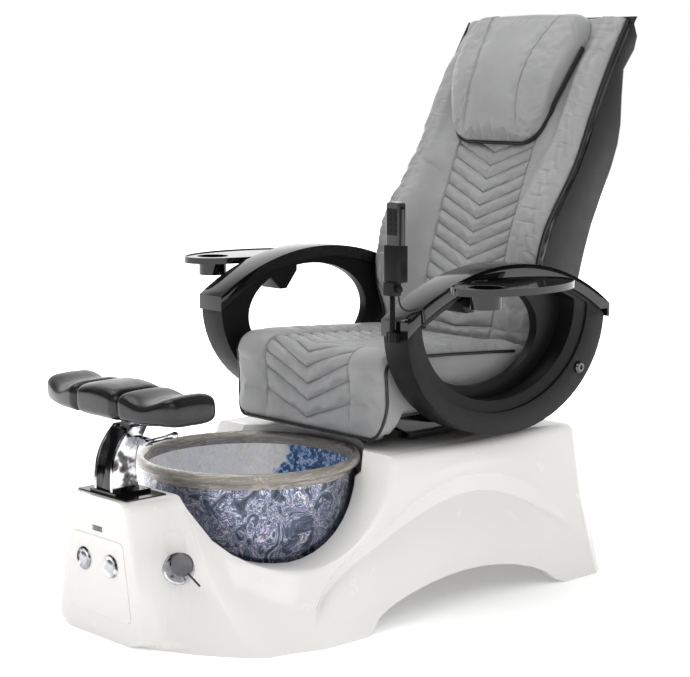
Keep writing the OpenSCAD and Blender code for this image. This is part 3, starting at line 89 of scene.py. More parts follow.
# ---------------------------------------------------------------- materials
def new_material(name, colour, roughness=0.5, metallic=0.0, **sockets):
    """A Principled material; further sockets are named with underscores for spaces."""
    m = bpy.data.materials.new(name)
    m.use_nodes = True
    shader = m.node_tree.nodes["Principled BSDF"]
    shader.inputs["Base Color"].default_value = (*colour, 1)
    shader.inputs["Roughness"].default_value = roughness
    shader.inputs["Metallic"].default_value = metallic
    for socket, value in sockets.items():
        shader.inputs[socket.replace("_", " ")].default_value = value
    return m


class Nodes:
    """Short calls for building the node tree of a material or the world."""

    def __init__(self, owner, shader="Principled BSDF", coords="Object"):
        self.tree = owner.node_tree
        self.shader = self.tree.nodes[shader]
        self.coords = self.tree.nodes.new("ShaderNodeTexCoord").outputs[coords]

    def link(self, a, b):
        self.tree.links.new(a, b)

    def add(self, kind, **settings):
        n = self.tree.nodes.new("ShaderNode" + kind)
        for key, value in settings.items():
            if key in n.inputs:
                n.inputs[key].default_value = value
            else:
                setattr(n, key, value)
        return n

    def noise(self, scale, detail=3.0, roughness=0.5, stretch=(1, 1, 1)):
        n = self.add("TexNoise", Scale=scale, Detail=detail, Roughness=roughness)
        if stretch != (1, 1, 1):
            m = self.add("Mapping", Scale=stretch)
            self.link(self.coords, m.inputs["Vector"])
            self.link(m.outputs["Vector"], n.inputs["Vector"])
        else:
            self.link(self.coords, n.inputs["Vector"])
        return n.outputs["Fac"]

    def cells(self, scale, feature="DISTANCE_TO_EDGE", **settings):
        n = self.add("TexVoronoi", feature=feature, Scale=scale, **settings)
        self.link(self.coords, n.inputs["Vector"])
        return n.outputs["Distance"]

    def along(self, axis):
        """How far the coordinates lie along axis."""
        n = self.add("VectorMath", operation="DOT_PRODUCT")
        n.inputs[1].default_value = axis
        self.link(self.coords, n.inputs[0])
        return n.outputs["Value"]

    def level(self, source, low, high, dark=0.0, bright=1.0):
        """Smooth step from dark to bright as source goes from low to high."""
        n = self.add("MapRange", interpolation_type="SMOOTHSTEP")
        for socket, value in zip(("From Min", "From Max", "To Min", "To Max"), (low, high, dark, bright)):
            n.inputs[socket].default_value = value
        self.link(source, n.inputs["Value"])
        return n.outputs["Result"]

    def ramp(self, source, *stops):
        n = self.add("ValToRGB")
        ramp = n.color_ramp
        while len(ramp.elements) < len(stops):
            ramp.elements.new(0.5)
        for e, (place, colour) in zip(ramp.elements, stops):
            e.position = place
            e.color = (*colour, 1) if hasattr(colour, "__len__") else (colour, colour, colour, 1)
        self.link(source, n.inputs["Fac"])
        return n.outputs["Color"]

    def math(self, operation, a, b):
        n = self.add("Math", operation=operation)
        for socket, value in zip(n.inputs, (a, b)):
            if isinstance(value, (int, float)):
                socket.default_value = value
            else:
                self.link(value, socket)
        return n.outputs["Value"]

    def bump(self, height, strength, distance, after=None):
        n = self.add("Bump", Strength=strength, Distance=distance)
        self.link(height, n.inputs["Height"])
        if after is not None:
            self.link(after, n.inputs["Normal"])
        return n.outputs["Normal"]

    def mix(self, factor, a, b):
        n = self.add("Mix", data_type="RGBA")
        self.link(factor, n.inputs["Factor"])
        for socket, value in ((n.inputs[6], a), (n.inputs[7], b)):
            if hasattr(value, "__len__"):
                socket.default_value = (*value, 1)
            else:
                self.link(value, socket)
        return n.outputs[2]

    def set(self, socket, output):
        self.link(output, self.shader.inputs[socket])


def leather(name, dark, light, roughness, grain=0.35, specular=0.5):
    """Pebbled leather with soft creases and slightly uneven colour and gloss."""
    m = new_material(name, light, roughness, Specular_IOR_Level=specular)
    n = Nodes(m)
    n.set("Base Color", n.ramp(n.noise(9, 4), (0.3, dark), (0.7, light)))
    pebble = n.bump(n.cells(620), grain, 0.0004)
    creases = n.bump(n.noise(55, 5, 0.6), 0.12, 0.003, pebble)
    n.set("Normal", creases)
    n.set("Roughness", n.ramp(n.noise(24, 3), (0.25, roughness - 0.06), (0.8, roughness + 0.08)))
    return m


def plastic(name, colour, roughness, texture=0.0, scale=900, spread=0.04, specular=0.5):
    """Moulded or painted surface, with a fine grain where texture is given."""
    m = new_material(name, colour, roughness, Specular_IOR_Level=specular)
    n = Nodes(m)
    n.set("Roughness", n.ramp(n.noise(30, 4), (0.3, max(0.02, roughness - spread)), (0.75, roughness + spread)))
    if texture:
        n.set("Normal", n.bump(n.noise(scale, 2), texture, 0.0004))
    return m


def metal(name, colour, roughness, brushed=0.0):
    """Bare metal, brushed upright where brushed is given."""
    m = new_material(name, colour, roughness, 1.0)
    n = Nodes(m)
    stretch = (40, 40, 1) if brushed else (1, 1, 1)
    smear = n.noise(60, 3, stretch=stretch)
    n.set("Roughness", n.ramp(smear, (0.3, max(0.02, roughness * 0.7)), (0.7, roughness * 1.5)))
    if brushed:
        n.set("Normal", n.bump(n.noise(120, 2, stretch=stretch), brushed, 0.0003))
    return m


def chrome_with_painted_reflections():
    """Chrome with painted reflections: dark and bright patches in its colour stand for a room of dark and light things.
    """
    m = metal("chrome_painted_reflections_look", (0.72, 0.73, 0.75), 0.07)
    n = Nodes(m)
    # Painted reflections: dark and bright patches set into the chrome's colour
    n.set("Base Color", n.ramp(
        n.noise(17, 3, 0.55), (0.36, (0.03, 0.03, 0.035)), (0.43, (0.10, 0.09, 0.09)),
        (0.47, (0.50, 0.51, 0.53)), (0.56, (0.74, 0.75, 0.77)), (0.66, (0.28, 0.28, 0.30))))
    return m


def gelcoat():
    """Warm white gelcoat, a little uneven under its gloss."""
    m = new_material("gelcoat_look", (0.80, 0.79, 0.765), 0.22, Coat_Weight=0.35, Coat_Roughness=0.06)
    n = Nodes(m)
    n.set("Base Color", n.ramp(n.noise(3, 2), (0.3, (0.785, 0.775, 0.75)), (0.7, (0.815, 0.807, 0.785))))
    n.set("Normal", n.bump(n.noise(26, 2), 0.02, 0.002))
    n.set("Roughness", n.ramp(n.noise(14, 3), (0.3, 0.16), (0.7, 0.28)))
    return m


def rippled_glass(name, stops, roughness=0.12, metallic=0.8, scale=10.0, upright=1.0):
    """Foil-backed glass: patches and thin swirls of the given colours over fine ripples."""
    m = new_material(name, (0.3, 0.32, 0.36), roughness, metallic, Coat_Weight=0.6, Coat_Roughness=0.03)
    n = Nodes(m)
    place = n.add("Mapping", Scale=(1, 1, upright))
    n.link(n.coords, place.inputs["Vector"])
    warp = n.add("TexNoise", Scale=8.0, Detail=2.0)
    n.link(n.coords, warp.inputs["Vector"])
    bent = n.add("MixRGB", blend_type="LINEAR_LIGHT", Fac=0.06)
    n.link(place.outputs["Vector"], bent.inputs["Color1"])
    n.link(warp.outputs["Color"], bent.inputs["Color2"])
    tint = n.add("TexNoise", Scale=scale, Detail=5.0, Roughness=0.66, Distortion=1.6)
    n.link(bent.outputs["Color"], tint.inputs["Vector"])
    n.set("Base Color", n.ramp(tint.outputs["Fac"], *stops))
    fine = n.add("TexNoise", Scale=70.0, Detail=3.0, Roughness=0.6, Distortion=0.8)
    n.link(bent.outputs["Color"], fine.inputs["Vector"])
    n.set("Normal", n.bump(fine.outputs["Fac"], 0.6, 0.004))
    return m


SLATE, INK, SILVER = (0.070, 0.088, 0.135), (0.014, 0.018, 0.034), (0.70, 0.71, 0.75)
VIOLET, GOLD = (0.30, 0.26, 0.46), (0.50, 0.44, 0.34)


def wood():
    """Dark stained plywood with its grain across the chair."""
    m = new_material("plywood_look", (0.04, 0.03, 0.025), 0.6)
    n = Nodes(m)
    grain = n.noise(9, 5, 0.6, (1, 12, 30))
    n.set("Base Color", n.ramp(grain, (0.3, (0.020, 0.016, 0.013)), (0.7, (0.045, 0.036, 0.028))))
    return m


looks = {
    "gelcoat": gelcoat(),
    "black_gloss": plastic("black_gloss_look", (0.004, 0.004, 0.0045), 0.08, spread=0.03),
    "black_matte": plastic("black_matte_look", (0.005, 0.005, 0.0055), 0.40, texture=0.2, specular=0.20),
    "shell_black": plastic("shell_black_look", (0.006, 0.006, 0.0065), 0.40, texture=0.35, scale=500, specular=0.28),
    "chrome": chrome_with_painted_reflections(),
    "dark_chrome": metal("dark_chrome_look", (0.12, 0.12, 0.13), 0.16),
    "steel": metal("steel_look", (0.50, 0.51, 0.53), 0.25, brushed=0.2),
    "frame_paint": plastic("frame_paint_look", (0.03, 0.03, 0.033), 0.38, texture=0.2, scale=300),
    "bowl_glass": rippled_glass("bowl_outside_look", (
        (0.34, INK), (0.44, SLATE), (0.49, (0.12, 0.15, 0.24)), (0.515, (0.60, 0.62, 0.68)), (0.535, SLATE),
        (0.58, (0.13, 0.13, 0.26)), (0.61, VIOLET), (0.635, SILVER), (0.655, GOLD), (0.68, SLATE), (0.76, SILVER)),
        scale=24.0),
    "seal_rubber": plastic("seal_rubber_look", (0.010, 0.010, 0.010), 0.55, texture=0.2),
    "pipe_plastic": plastic("pipe_plastic_look", (0.66, 0.66, 0.64), 0.35),
    "plywood": wood(),
    "grey_leather": leather("grey_leather_look", (0.262, 0.263, 0.266), (0.305, 0.306, 0.309), 0.40, specular=0.45),
    "black_leather": leather("black_leather_look", (0.003, 0.003, 0.003), (0.006, 0.006, 0.006), 0.24, 0.25),
}
piping_look = leather("piping_look", (0.003, 0.003, 0.003), (0.006, 0.006, 0.006), 0.35, 0.2)
glass_inside = rippled_glass("bowl_inside_look", (
    (0.28, (0.60, 0.59, 0.57)), (0.42, (0.92, 0.91, 0.88)), (0.50, (0.80, 0.77, 0.78)), (0.56, (0.93, 0.92, 0.89)),
    (0.64, (0.78, 0.73, 0.65)), (0.72, (0.93, 0.92, 0.90))), 0.26, 0.1, 26.0, upright=0.22)
glass_rim = rippled_glass("bowl_rim_look", (
    (0.30, (0.09, 0.08, 0.065)), (0.42, (0.36, 0.335, 0.29)), (0.50, (0.24, 0.22, 0.19)), (0.58, (0.50, 0.47, 0.42)),
    (0.70, (0.22, 0.20, 0.175))), 0.08, 0.4, 9.0, upright=9.0)


def blue_quarter(material):
    """Turns the bowl's inside to sparkling blue towards the seat."""
    n = Nodes(material)
    silver = n.shader.inputs["Base Color"].links[0].from_socket
    sparkle = n.ramp(
        n.noise(70, 3, 0.7), (0.36, (0.01, 0.02, 0.05)), (0.45, (0.02, 0.10, 0.28)), (0.53, (0.05, 0.26, 0.60)),
        (0.57, (0.85, 0.90, 0.95)), (0.60, (0.04, 0.18, 0.45)), (0.70, (0.55, 0.50, 0.62)))
    ragged = n.math("ADD", n.along((0.677, 0.735, -0.35)), n.math("MULTIPLY", n.noise(30, 2), 0.10))
    n.set("Base Color", n.mix(n.level(ragged, -0.245, -0.225), silver, sparkle))


blue_quarter(glass_inside)

# Width in millimetres of the rounding drawn on the sharp edges of these CAD nodes
BEVELLED = {
    "arm_cap_left": 2.5, "arm_cap_right": 2.5, "arm_ring_left": 2.0, "arm_ring_right": 2.0,
    "front_panel": 0.8, "post_cheek_left": 1.5, "post_cheek_right": 1.5, "seat_chassis": 2.0,
    "post_core": 1.5, "handset_holder": 0.7, "tray_bracket_left": 1.5, "tray_bracket_right": 1.5,
}


def dress_cad_node(name, obj):
    """Gives a CAD node its look and smooth shading with sharp edges kept."""
    obj.data.materials.clear()
    obj.data.materials.append(looks[slot_of[name]])
    if "custom_normal" in obj.data.attributes:
        obj.data.attributes.remove(obj.data.attributes["custom_normal"])
    obj.data.shade_smooth()
    weld = obj.modifiers.new("Weld", "WELD")
    weld.merge_threshold = 1e-6
    if name in BEVELLED:
        bevel = obj.modifiers.new("Bevel", "BEVEL")
        bevel.width = BEVELLED[name] * 0.001
        bevel.segments = 3
        bevel.limit_method = "ANGLE"
        bevel.angle_limit = math.radians(40)
        bevel.use_clamp_overlap = True
    split = obj.modifiers.new("Edges", "EDGE_SPLIT")
    split.split_angle = math.radians(34)


for name, obj in nodes.items():
    dress_cad_node(name, obj)


# ---------------------------------------------------------------- mesh helpers
def mesh_object(name, points, faces, look, body, replaces=()):
    """A smooth mesh from drawing points; it rides on its body and stands for the CAD nodes in replaces."""
    mesh = bpy.data.meshes.new(name)
    mesh.from_pydata(row(points).tolist(), [], faces)
    mesh.validate()
    mesh.shade_smooth()
    mesh.materials.append(look)
    obj = bpy.data.objects.new(name, mesh)
    bpy.context.scene.collection.objects.link(obj)
    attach(obj, body)
    if replaces:
        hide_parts(*replaces)
    return obj


def closed_tube(rings, caps=True):
    """Points and faces of a tube through rings (n, m, 3)."""
    n, m = rings.shape[:2]
    i, j = np.meshgrid(np.arange(n - 1), np.arange(m), indexing="ij")
    a, d = i * m + j, i * m + (j + 1) % m
    faces = np.stack([a, a + m, d + m, d], -1).reshape(-1, 4).tolist()
    if caps:
        faces += [list(range(m)), [(n - 1) * m + k for k in range(m - 1, -1, -1)]]
    return rings.reshape(-1, 3), faces


def catmull(x, y, q):
    """Smooth interpolation of y(x) at q."""
    m = np.gradient(y, x)
    i = np.clip(np.searchsorted(x, q, side="right") - 1, 0, len(x) - 2)
    h = x[i + 1] - x[i]
    t = (q - x[i]) / h
    return ((2 * t**3 - 3 * t**2 + 1) * y[i] + (t**3 - 2 * t**2 + t) * h * m[i]
            + (-2 * t**3 + 3 * t**2) * y[i + 1] + (t**3 - t**2) * h * m[i + 1])


def bead(name, runs, body, replaces=(), radius=3.0, sides=12):
    """Round leather piping along runs of drawing points, joined end to end."""
    path = np.concatenate([np.asarray(r, float) for r in runs])
    s = np.concatenate([[0], np.cumsum(np.linalg.norm(np.diff(path, axis=0), axis=1))])
    keep = np.append(True, np.diff(s) > 0.5)
    path, s = path[keep], s[keep]
    fine = np.linspace(0, s[-1], int(s[-1] / 4))
    p = np.stack([catmull(s, path[:, k], fine) for k in range(3)], 1)
    d = unit(np.gradient(p, axis=0))
    # Frames carried along the path, so that the bead doesn't twist
    a = np.zeros_like(d)
    a[0] = unit(np.cross(d[0], (0.3, 0.2, 0.9)))
    for i in range(1, len(d)):
        a[i] = unit(a[i - 1] - np.dot(a[i - 1], d[i]) * d[i])
    b = np.cross(d, a)
    t = np.linspace(0, 2 * np.pi, sides, endpoint=False)
    rings = p[:, None] + radius * (a[:, None] * np.cos(t)[None, :, None] + b[:, None] * np.sin(t)[None, :, None])
    points, faces = closed_tube(rings)
    return mesh_object(name, points, faces, piping_look, body, replaces)


# ---------------------------------------------------------------- upholstery: sewing and simulation
CHANNEL_PITCH = 38.0
CHEVRON_SLOPE = 0.45
CHEVRON_START, CHEVRON_END = 150.0, 60.0  # lengths over which the chevrons fade out to straight ends
TOPSTITCH = 0.842  # its place across a channel
# Places across one sewn channel, close together at its seam and at its topstitch
CHANNEL_STEPS = np.array([
    0, 0.02, 0.045, 0.08, 0.14, 0.22, 0.32, 0.43, 0.54, 0.65, 0.74, 0.79, 0.82, TOPSTITCH, 0.864, 0.89, 0.93, 0.965,
    0.985])
COARSE_STEPS = np.array([0, 0.12, 0.3, 0.5, 0.7, 0.88])
SIM_FRAMES = 14


def chevron_lag(s, length, x, panel):
    """How far a channel at s lags beside the mid plane, which gives the V."""
    fade = smooth(np.minimum(s / CHEVRON_START, (length - s) / CHEVRON_END))
    return CHEVRON_SLOPE * np.minimum(np.abs(x), panel) * fade


def rows_of(count, steps):
    """Row places in channels, 0 to count."""
    return np.append((np.arange(count)[:, None] + steps[None, :]).ravel(), count)


def columns(w, r, panel, step):
    """x across a cushion and the drop of its rounded edge, closer together at the apex and the panel's seams."""
    by_seam = panel + np.array([-3.6, -2.2, -1.1, 0, 1.1, 2.2, 3.6])
    inner = np.concatenate([[0, 1.2, 3.0], np.arange(6.5, panel - 5, step), by_seam])
    outer = np.arange(panel + 7, w - r - 1, step)
    a = np.radians(np.linspace(0, 90, 11))
    h = np.concatenate([inner, outer, w - r + r * np.sin(a)])
    drop = np.concatenate([np.zeros(len(inner) + len(outer)), r * (1 - np.cos(a))])
    return np.concatenate([-h[:0:-1], h]), np.concatenate([drop[:0:-1], drop])


def channel_depth(k, stitch_side):
    """Depth of the sewn channels below their crests at row place k; the topstitch lies on one side of the seam."""
    f = k % 1.0
    if stitch_side < 0:
        f = 1 - f
    from_seam = np.minimum(f, 1 - f) * CHANNEL_PITCH
    puffed = 5.0 * (1 - np.sin(np.pi * f) ** 0.7)
    crease = 3.2 * np.exp(-from_seam / 1.7)
    topstitch = 1.0 * np.exp(-(((f - TOPSTITCH) * CHANNEL_PITCH) / 0.8) ** 2)
    return puffed + crease + topstitch


def groove(distance, depth, width):
    """Depth of a sewn groove at a distance from its middle."""
    return depth * np.exp(-(distance / width) ** 2)


def resample(field, u, v, uq, vq):
    """Linear interpolation of field (u, v, 3) on the finer grid uq by vq."""
    iu, iv = (np.clip(np.searchsorted(g, q, side="right") - 1, 0, len(g) - 2) for g, q in ((u, uq), (v, vq)))
    fu = ((uq - u[iu]) / (u[iu + 1] - u[iu]))[:, None, None]
    fv = ((vq - v[iv]) / (v[iv + 1] - v[iv]))[None, :, None]
    f = field[iu] * (1 - fu) + field[iu + 1] * fu
    return f[:, iv] * (1 - fv) + f[:, iv + 1] * fv


def cloth_rise(points, outward, pinned, pressure, growth, cap):
    """How far a sewn cover (n, m, 3) moves when its filling presses on it from inside, in millimetres.

    Points stay put where pinned is 1. The cover is cut a little large (growth), so it puckers at its seams.
    """
    n, m = points.shape[:2]
    i, j = np.meshgrid(np.arange(n - 1), np.arange(m - 1), indexing="ij")
    a = i * m + j
    quads = np.stack([a, a + m, a + m + 1, a + 1], -1).reshape(-1, 4)
    mid = points[n // 2, m // 2]
    side = np.cross(points[n // 2 + 1, m // 2] - mid, points[n // 2, m // 2 + 1] - mid)
    if np.dot(side, outward) < 0:
        quads = quads[:, ::-1]
    start = row(points).reshape(-1, 3)
    mesh = bpy.data.meshes.new("cover")
    mesh.from_pydata(start.tolist(), [], quads.tolist())
    obj = bpy.data.objects.new("cover", mesh)
    scene = bpy.context.scene
    scene.collection.objects.link(obj)
    group = obj.vertex_groups.new(name="pinned")
    for index, weight in enumerate(pinned.ravel().tolist()):
        if weight > 0:
            group.add([index], weight, "REPLACE")
    cloth = obj.modifiers.new("Cloth", "CLOTH")
    setting = cloth.settings
    setting.vertex_group_mass = "pinned"
    setting.quality = 6
    setting.mass = 0.25
    setting.tension_stiffness = setting.compression_stiffness = 18
    setting.shear_stiffness = 6
    setting.bending_stiffness = 0.6
    setting.use_pressure = True
    setting.uniform_pressure_force = pressure
    setting.shrink_min = -growth
    setting.effector_weights.gravity = 0
    cloth.collision_settings.use_collision = False
    cloth.point_cache.frame_start, cloth.point_cache.frame_end = 1, SIM_FRAMES
    for frame_number in range(1, SIM_FRAMES + 1):
        scene.frame_set(frame_number)
    result = obj.evaluated_get(bpy.context.evaluated_depsgraph_get()).data
    moved = np.empty(len(start) * 3)
    result.vertices.foreach_get("co", moved)
    bpy.data.objects.remove(obj)
    bpy.data.meshes.remove(mesh)
    scene.frame_set(1)
    shift = (moved.reshape(-1, 3) - start) * 1000
    length = np.linalg.norm(shift, axis=1, keepdims=True)
    shift *= cap * np.tanh(length / cap) / np.maximum(length, 1e-6)
    return shift.reshape(points.shape)


def cushion_object(name, rings, end_inset, body, replaces, dark_sides=0):
    """A closed cushion from its rings across X (n, m, 3), with each end closed by smaller rings.

    The last dark_sides rings at each end are covered in the piping's black leather.
    """
    def inset(ring, k):
        c = ring.mean(0)
        out = c + (ring - c) * (1 - k)
        out[:, 0] = ring[:, 0] + np.sign(ring[0, 0]) * 1.5 * (1 - (1 - k) ** 2)
        return out

    first = np.array([inset(rings[0], k) for k in (end_inset, end_inset / 2)])
    last = np.array([inset(rings[-1], k) for k in (end_inset / 2, end_inset)])
    points, faces = closed_tube(np.concatenate([first, rings, last]))
    obj = mesh_object(name, points, faces, looks["grey_leather"], body, replaces)
    if dark_sides:
        obj.data.materials.append(piping_look)
        around = rings.shape[1]
        strips = len(points) // around - 1
        strip = np.repeat(np.arange(strips), around)
        dark = np.append((strip < dark_sides + 2) | (strip >= strips - dark_sides - 2), [True, True])
        obj.data.polygons.foreach_set("material_index", dark.astype(np.int32))
    return obj


# ---------------------------------------------------------------- seat
SEAT_HALF_W, SEAT_EDGE_R, PANEL_HALF_W = 268.0, 28.0, 150.0
SEAT_FRONT, SEAT_TOP, SEAT_LOW, SEAT_REAR = 612.0, 598.0, 388.0, 1108.0
SEAT_NOSE_R, SEAT_TUCK_R, SEAT_PAN_TOP, SEAT_FALL = 46.0, 22.0, 452.0, 26.0
SEAT_FLAT = SEAT_REAR - SEAT_FRONT - SEAT_NOSE_R
SEAT_FACE = SEAT_TOP - SEAT_NOSE_R - SEAT_TUCK_R - SEAT_LOW
S_NOSE = SEAT_FLAT + SEAT_NOSE_R * math.pi / 2
S_FACE = S_NOSE + SEAT_FACE
SEAT_LEN = S_FACE + SEAT_TUCK_R * math.pi / 2
SEAT_PITCH = 42.0
SEAT_CHANNELS = round(SEAT_LEN / SEAT_PITCH)
SEAT_CORNER_R, SEAT_CORNER_X, SEAT_SILL = 44.0, 120.0, 45.0
SOFT_GAP = 0.3
PIPE_OFF, BEAD_R = 3.3, 3.8


def seat_path(s):
    """Side outline of the seat: point (y, z) and outward normal at length s from the rear."""
    a = np.clip((s - SEAT_FLAT) / SEAT_NOSE_R, 0, math.pi / 2)
    k = np.clip((s - S_NOSE) / SEAT_FACE, 0, 1)
    b = np.clip((s - S_FACE) / SEAT_TUCK_R, 0, math.pi / 2)
    rear = 1 - np.clip(s / SEAT_FLAT, 0, 1)
    where = [s <= SEAT_FLAT, s <= S_NOSE, s <= S_FACE]
    y = np.select(
        where, [SEAT_REAR - s, SEAT_FRONT + SEAT_NOSE_R * (1 - np.sin(a)), SEAT_FRONT + 5 * np.sin(np.pi * k)],
        SEAT_FRONT + SEAT_TUCK_R * (1 - np.cos(b)))
    z = np.select(
        where, [SEAT_TOP - SEAT_FALL * rear**1.3, SEAT_TOP - SEAT_NOSE_R * (1 - np.cos(a)),
                SEAT_TOP - SEAT_NOSE_R - k * SEAT_FACE],
        SEAT_LOW + SEAT_TUCK_R * (1 - np.sin(b)))
    ny = np.select(where, [0 * s, -np.sin(a), -1 + 0 * s], -np.cos(b))
    nz = np.select(where, [1 + 0 * s, np.cos(a), 0 * s], -np.sin(b))
    return y, z, ny, nz


def corner_cut(z):
    """How far the seat front's rounded lower corners cut in at height z."""
    lower = np.clip(1 - (z - SEAT_LOW) / SEAT_CORNER_R, 0, 1)
    return SEAT_CORNER_R * (1 - np.sqrt(1 - lower**2 * 0.96))


def seat_cover(x, drop, rows, detail):
    """Points of the seat's cover over columns x and row places rows."""
    X, K = np.meshgrid(x, rows, indexing="ij")
    S = K * SEAT_LEN / SEAT_CHANNELS
    S = S - chevron_lag(S, SEAT_LEN, X, PANEL_HALF_W)
    y, z, ny, nz = seat_path(S)
    inner = smooth((K - 0.3) / 0.8) * smooth((SEAT_CHANNELS - 0.2 - K) / 0.6)
    edge = np.abs(X) - PANEL_HALF_W
    in_panel = smooth(0.5 - edge / 4)
    bulge = np.where(edge > 0, np.sin(np.pi * np.clip(edge / (SEAT_HALF_W - PANEL_HALF_W), 0, 1)), 0)
    pucker = 0.35 * value_noise(np.stack([X / 5, S / 14, 0 * X], -1), 3) * in_panel
    soft = 1.2 * value_noise(np.stack([X / 60, S / 80, 0 * X + 5], -1), 4) * (1 - in_panel)
    g = drop[:, None] + inner * (channel_depth(K, -1) * in_panel + groove(edge, 4.5, 2.6) - 6 * bulge
                                 + detail * (pucker + soft))
    beside = smooth((np.abs(X) - SEAT_CORNER_X) / (SEAT_HALF_W - SEAT_CORNER_X))
    X = X * (1 - corner_cut(z) / SEAT_HALF_W * beside)
    return np.stack([X, y - ny * g, z - nz * g], -1), in_panel, edge


def seat_cushion():
    """The seat's cover over the sewn panel, its nose and its underside."""
    x, drop = columns(SEAT_HALF_W, SEAT_EDGE_R, PANEL_HALF_W, 7)
    rows = rows_of(SEAT_CHANNELS, CHANNEL_STEPS)
    cover, _, _ = seat_cover(x, drop, rows, 1)
    cx, cdrop = columns(SEAT_HALF_W, SEAT_EDGE_R, PANEL_HALF_W, 9)
    crows = rows_of(SEAT_CHANNELS, COARSE_STEPS)
    coarse, in_panel, edge = seat_cover(cx, cdrop, crows, 0)
    on_seam = (crows % 1.0 < 0.01)[None, :] * (in_panel > 0.4)
    pinned = np.maximum.reduce([on_seam * 1.0, (np.abs(edge) < 2.5) * 1.0, (cdrop > 8)[:, None] + 0 * edge])
    pinned[:, :2] = pinned[:, -4:] = 1
    rise = cloth_rise(coarse, (0, 0, 1), pinned, pressure=5.0, growth=0.025, cap=5.0)
    cover = cover + resample(rise, cx, crows, x, rows)
    d = np.broadcast_to(drop[:, None], (len(x), 1))
    back = np.maximum(0, d - 20)
    foot = cover[:, -1:, 0]
    under = np.concatenate([
        np.stack([foot, SEAT_FRONT + SEAT_SILL + back, SEAT_LOW + d], -1),
        np.stack([x[:, None], SEAT_FRONT + SEAT_SILL + 1 + back, 0 * d + SEAT_PAN_TOP + SOFT_GAP], -1),
        np.stack([x[:, None], 0 * d + SEAT_REAR - 1, 0 * d + SEAT_PAN_TOP + SOFT_GAP], -1)], 1)
    rings = np.concatenate([cover, under], 1)
    return cushion_object("seat_upholstery", rings, 0.1, "chair", ["seat_cushion"])


def seat_piping():
    """One bead down both upper edges and along the front's lower edge."""
    s = np.linspace(0.12 * SEAT_LEN, 0.935 * SEAT_LEN, 60)
    s = s - chevron_lag(s, SEAT_LEN, SEAT_HALF_W, PANEL_HALF_W)
    y, z, ny, nz = seat_path(s)
    a = math.radians(60)
    side_x = SEAT_HALF_W - SEAT_EDGE_R * (1 - math.sin(a))
    g = PIPE_OFF / 2 - SEAT_EDGE_R / 2
    side = np.stack([side_x + PIPE_OFF * math.sin(a) + 0.4 - corner_cut(z), y + ny * g, z + nz * g], 1)
    last = SEAT_LEN * (1 - 0.5 / SEAT_CHANNELS)
    y, z, ny, nz = (float(v) for v in seat_path(np.array(last)))
    x = np.linspace(side_x - SEAT_CORNER_R + 6, -side_x + SEAT_CORNER_R - 6, 60)
    d = np.abs(x) - (SEAT_HALF_W - SEAT_EDGE_R)
    g = PIPE_OFF + 1.3 - np.where(d > 0, SEAT_EDGE_R - np.sqrt(np.maximum(0, SEAT_EDGE_R**2 - d * d)), 0)
    sill = np.stack([x, y + ny * g, z + nz * g], 1)
    return bead("seat_piping_bead", [side, sill, side[::-1] * (-1, 1, 1)], "chair", ["seat_piping"], BEAD_R)


# ---------------------------------------------------------------- back
BACK_FOOT_Y, BACK_FOOT_Z, BACK_TOP_Z, BACK_THICK = 1122.0, 560.0, 1378.0, 45.0
BACK_LOW_W, BACK_W, BACK_TOP_W, BACK_EDGE_R = 262.0, 282.0, 276.0, 26.0
BACK_PANEL = PANEL_HALF_W * 0.88
BACK_LEN = (BACK_TOP_Z - BACK_FOOT_Z) / math.cos(math.radians(25))
BACK_CHANNELS = round(BACK_LEN / CHANNEL_PITCH)
QUILT_TOP = 1120.0
BAND_X, BAND_W = 217.0, 13.0
BOLSTER_CROWN = 24.0
SEAM_ZS = [572, 610, 665, 725, 800, 860, 930, 1000, 1060, 1220, 1370]


def back_y(z):
    """The back's front face, which leans more toward its top."""
    t = z - BACK_FOOT_Z + 10
    return BACK_FOOT_Y + 0.16 * t + 0.00029 * t * t


def back_slope(z):
    return 0.16 + 0.00058 * (z - BACK_FOOT_Z + 10)


def back_normal(z):
    """Outward normal (y, z) of the back's front face."""
    m = back_slope(z)
    length = np.sqrt(1 + m * m)
    return -1 / length, m / length


def back_w(z):
    """Half width of the back."""
    return lerp(lerp(BACK_LOW_W, BACK_W, smooth((z - 575) / 130)), BACK_TOP_W, smooth((z - 800) / 480))


def bolster(z):
    """How far the sides stand ahead of the middle."""
    return 56 * smooth((z - 540) / 210) * (1 - smooth((z - 800) / 260))


def joint_depth(u, z):
    """Depth behind the front face of the joint between cushion and shell."""
    lip = (BACK_EDGE_R + 10 - bolster(z)) * math.sqrt(1 + back_slope(z) ** 2)
    return lerp(BACK_THICK, lip, smooth((np.abs(u) - 0.84) / 0.08))


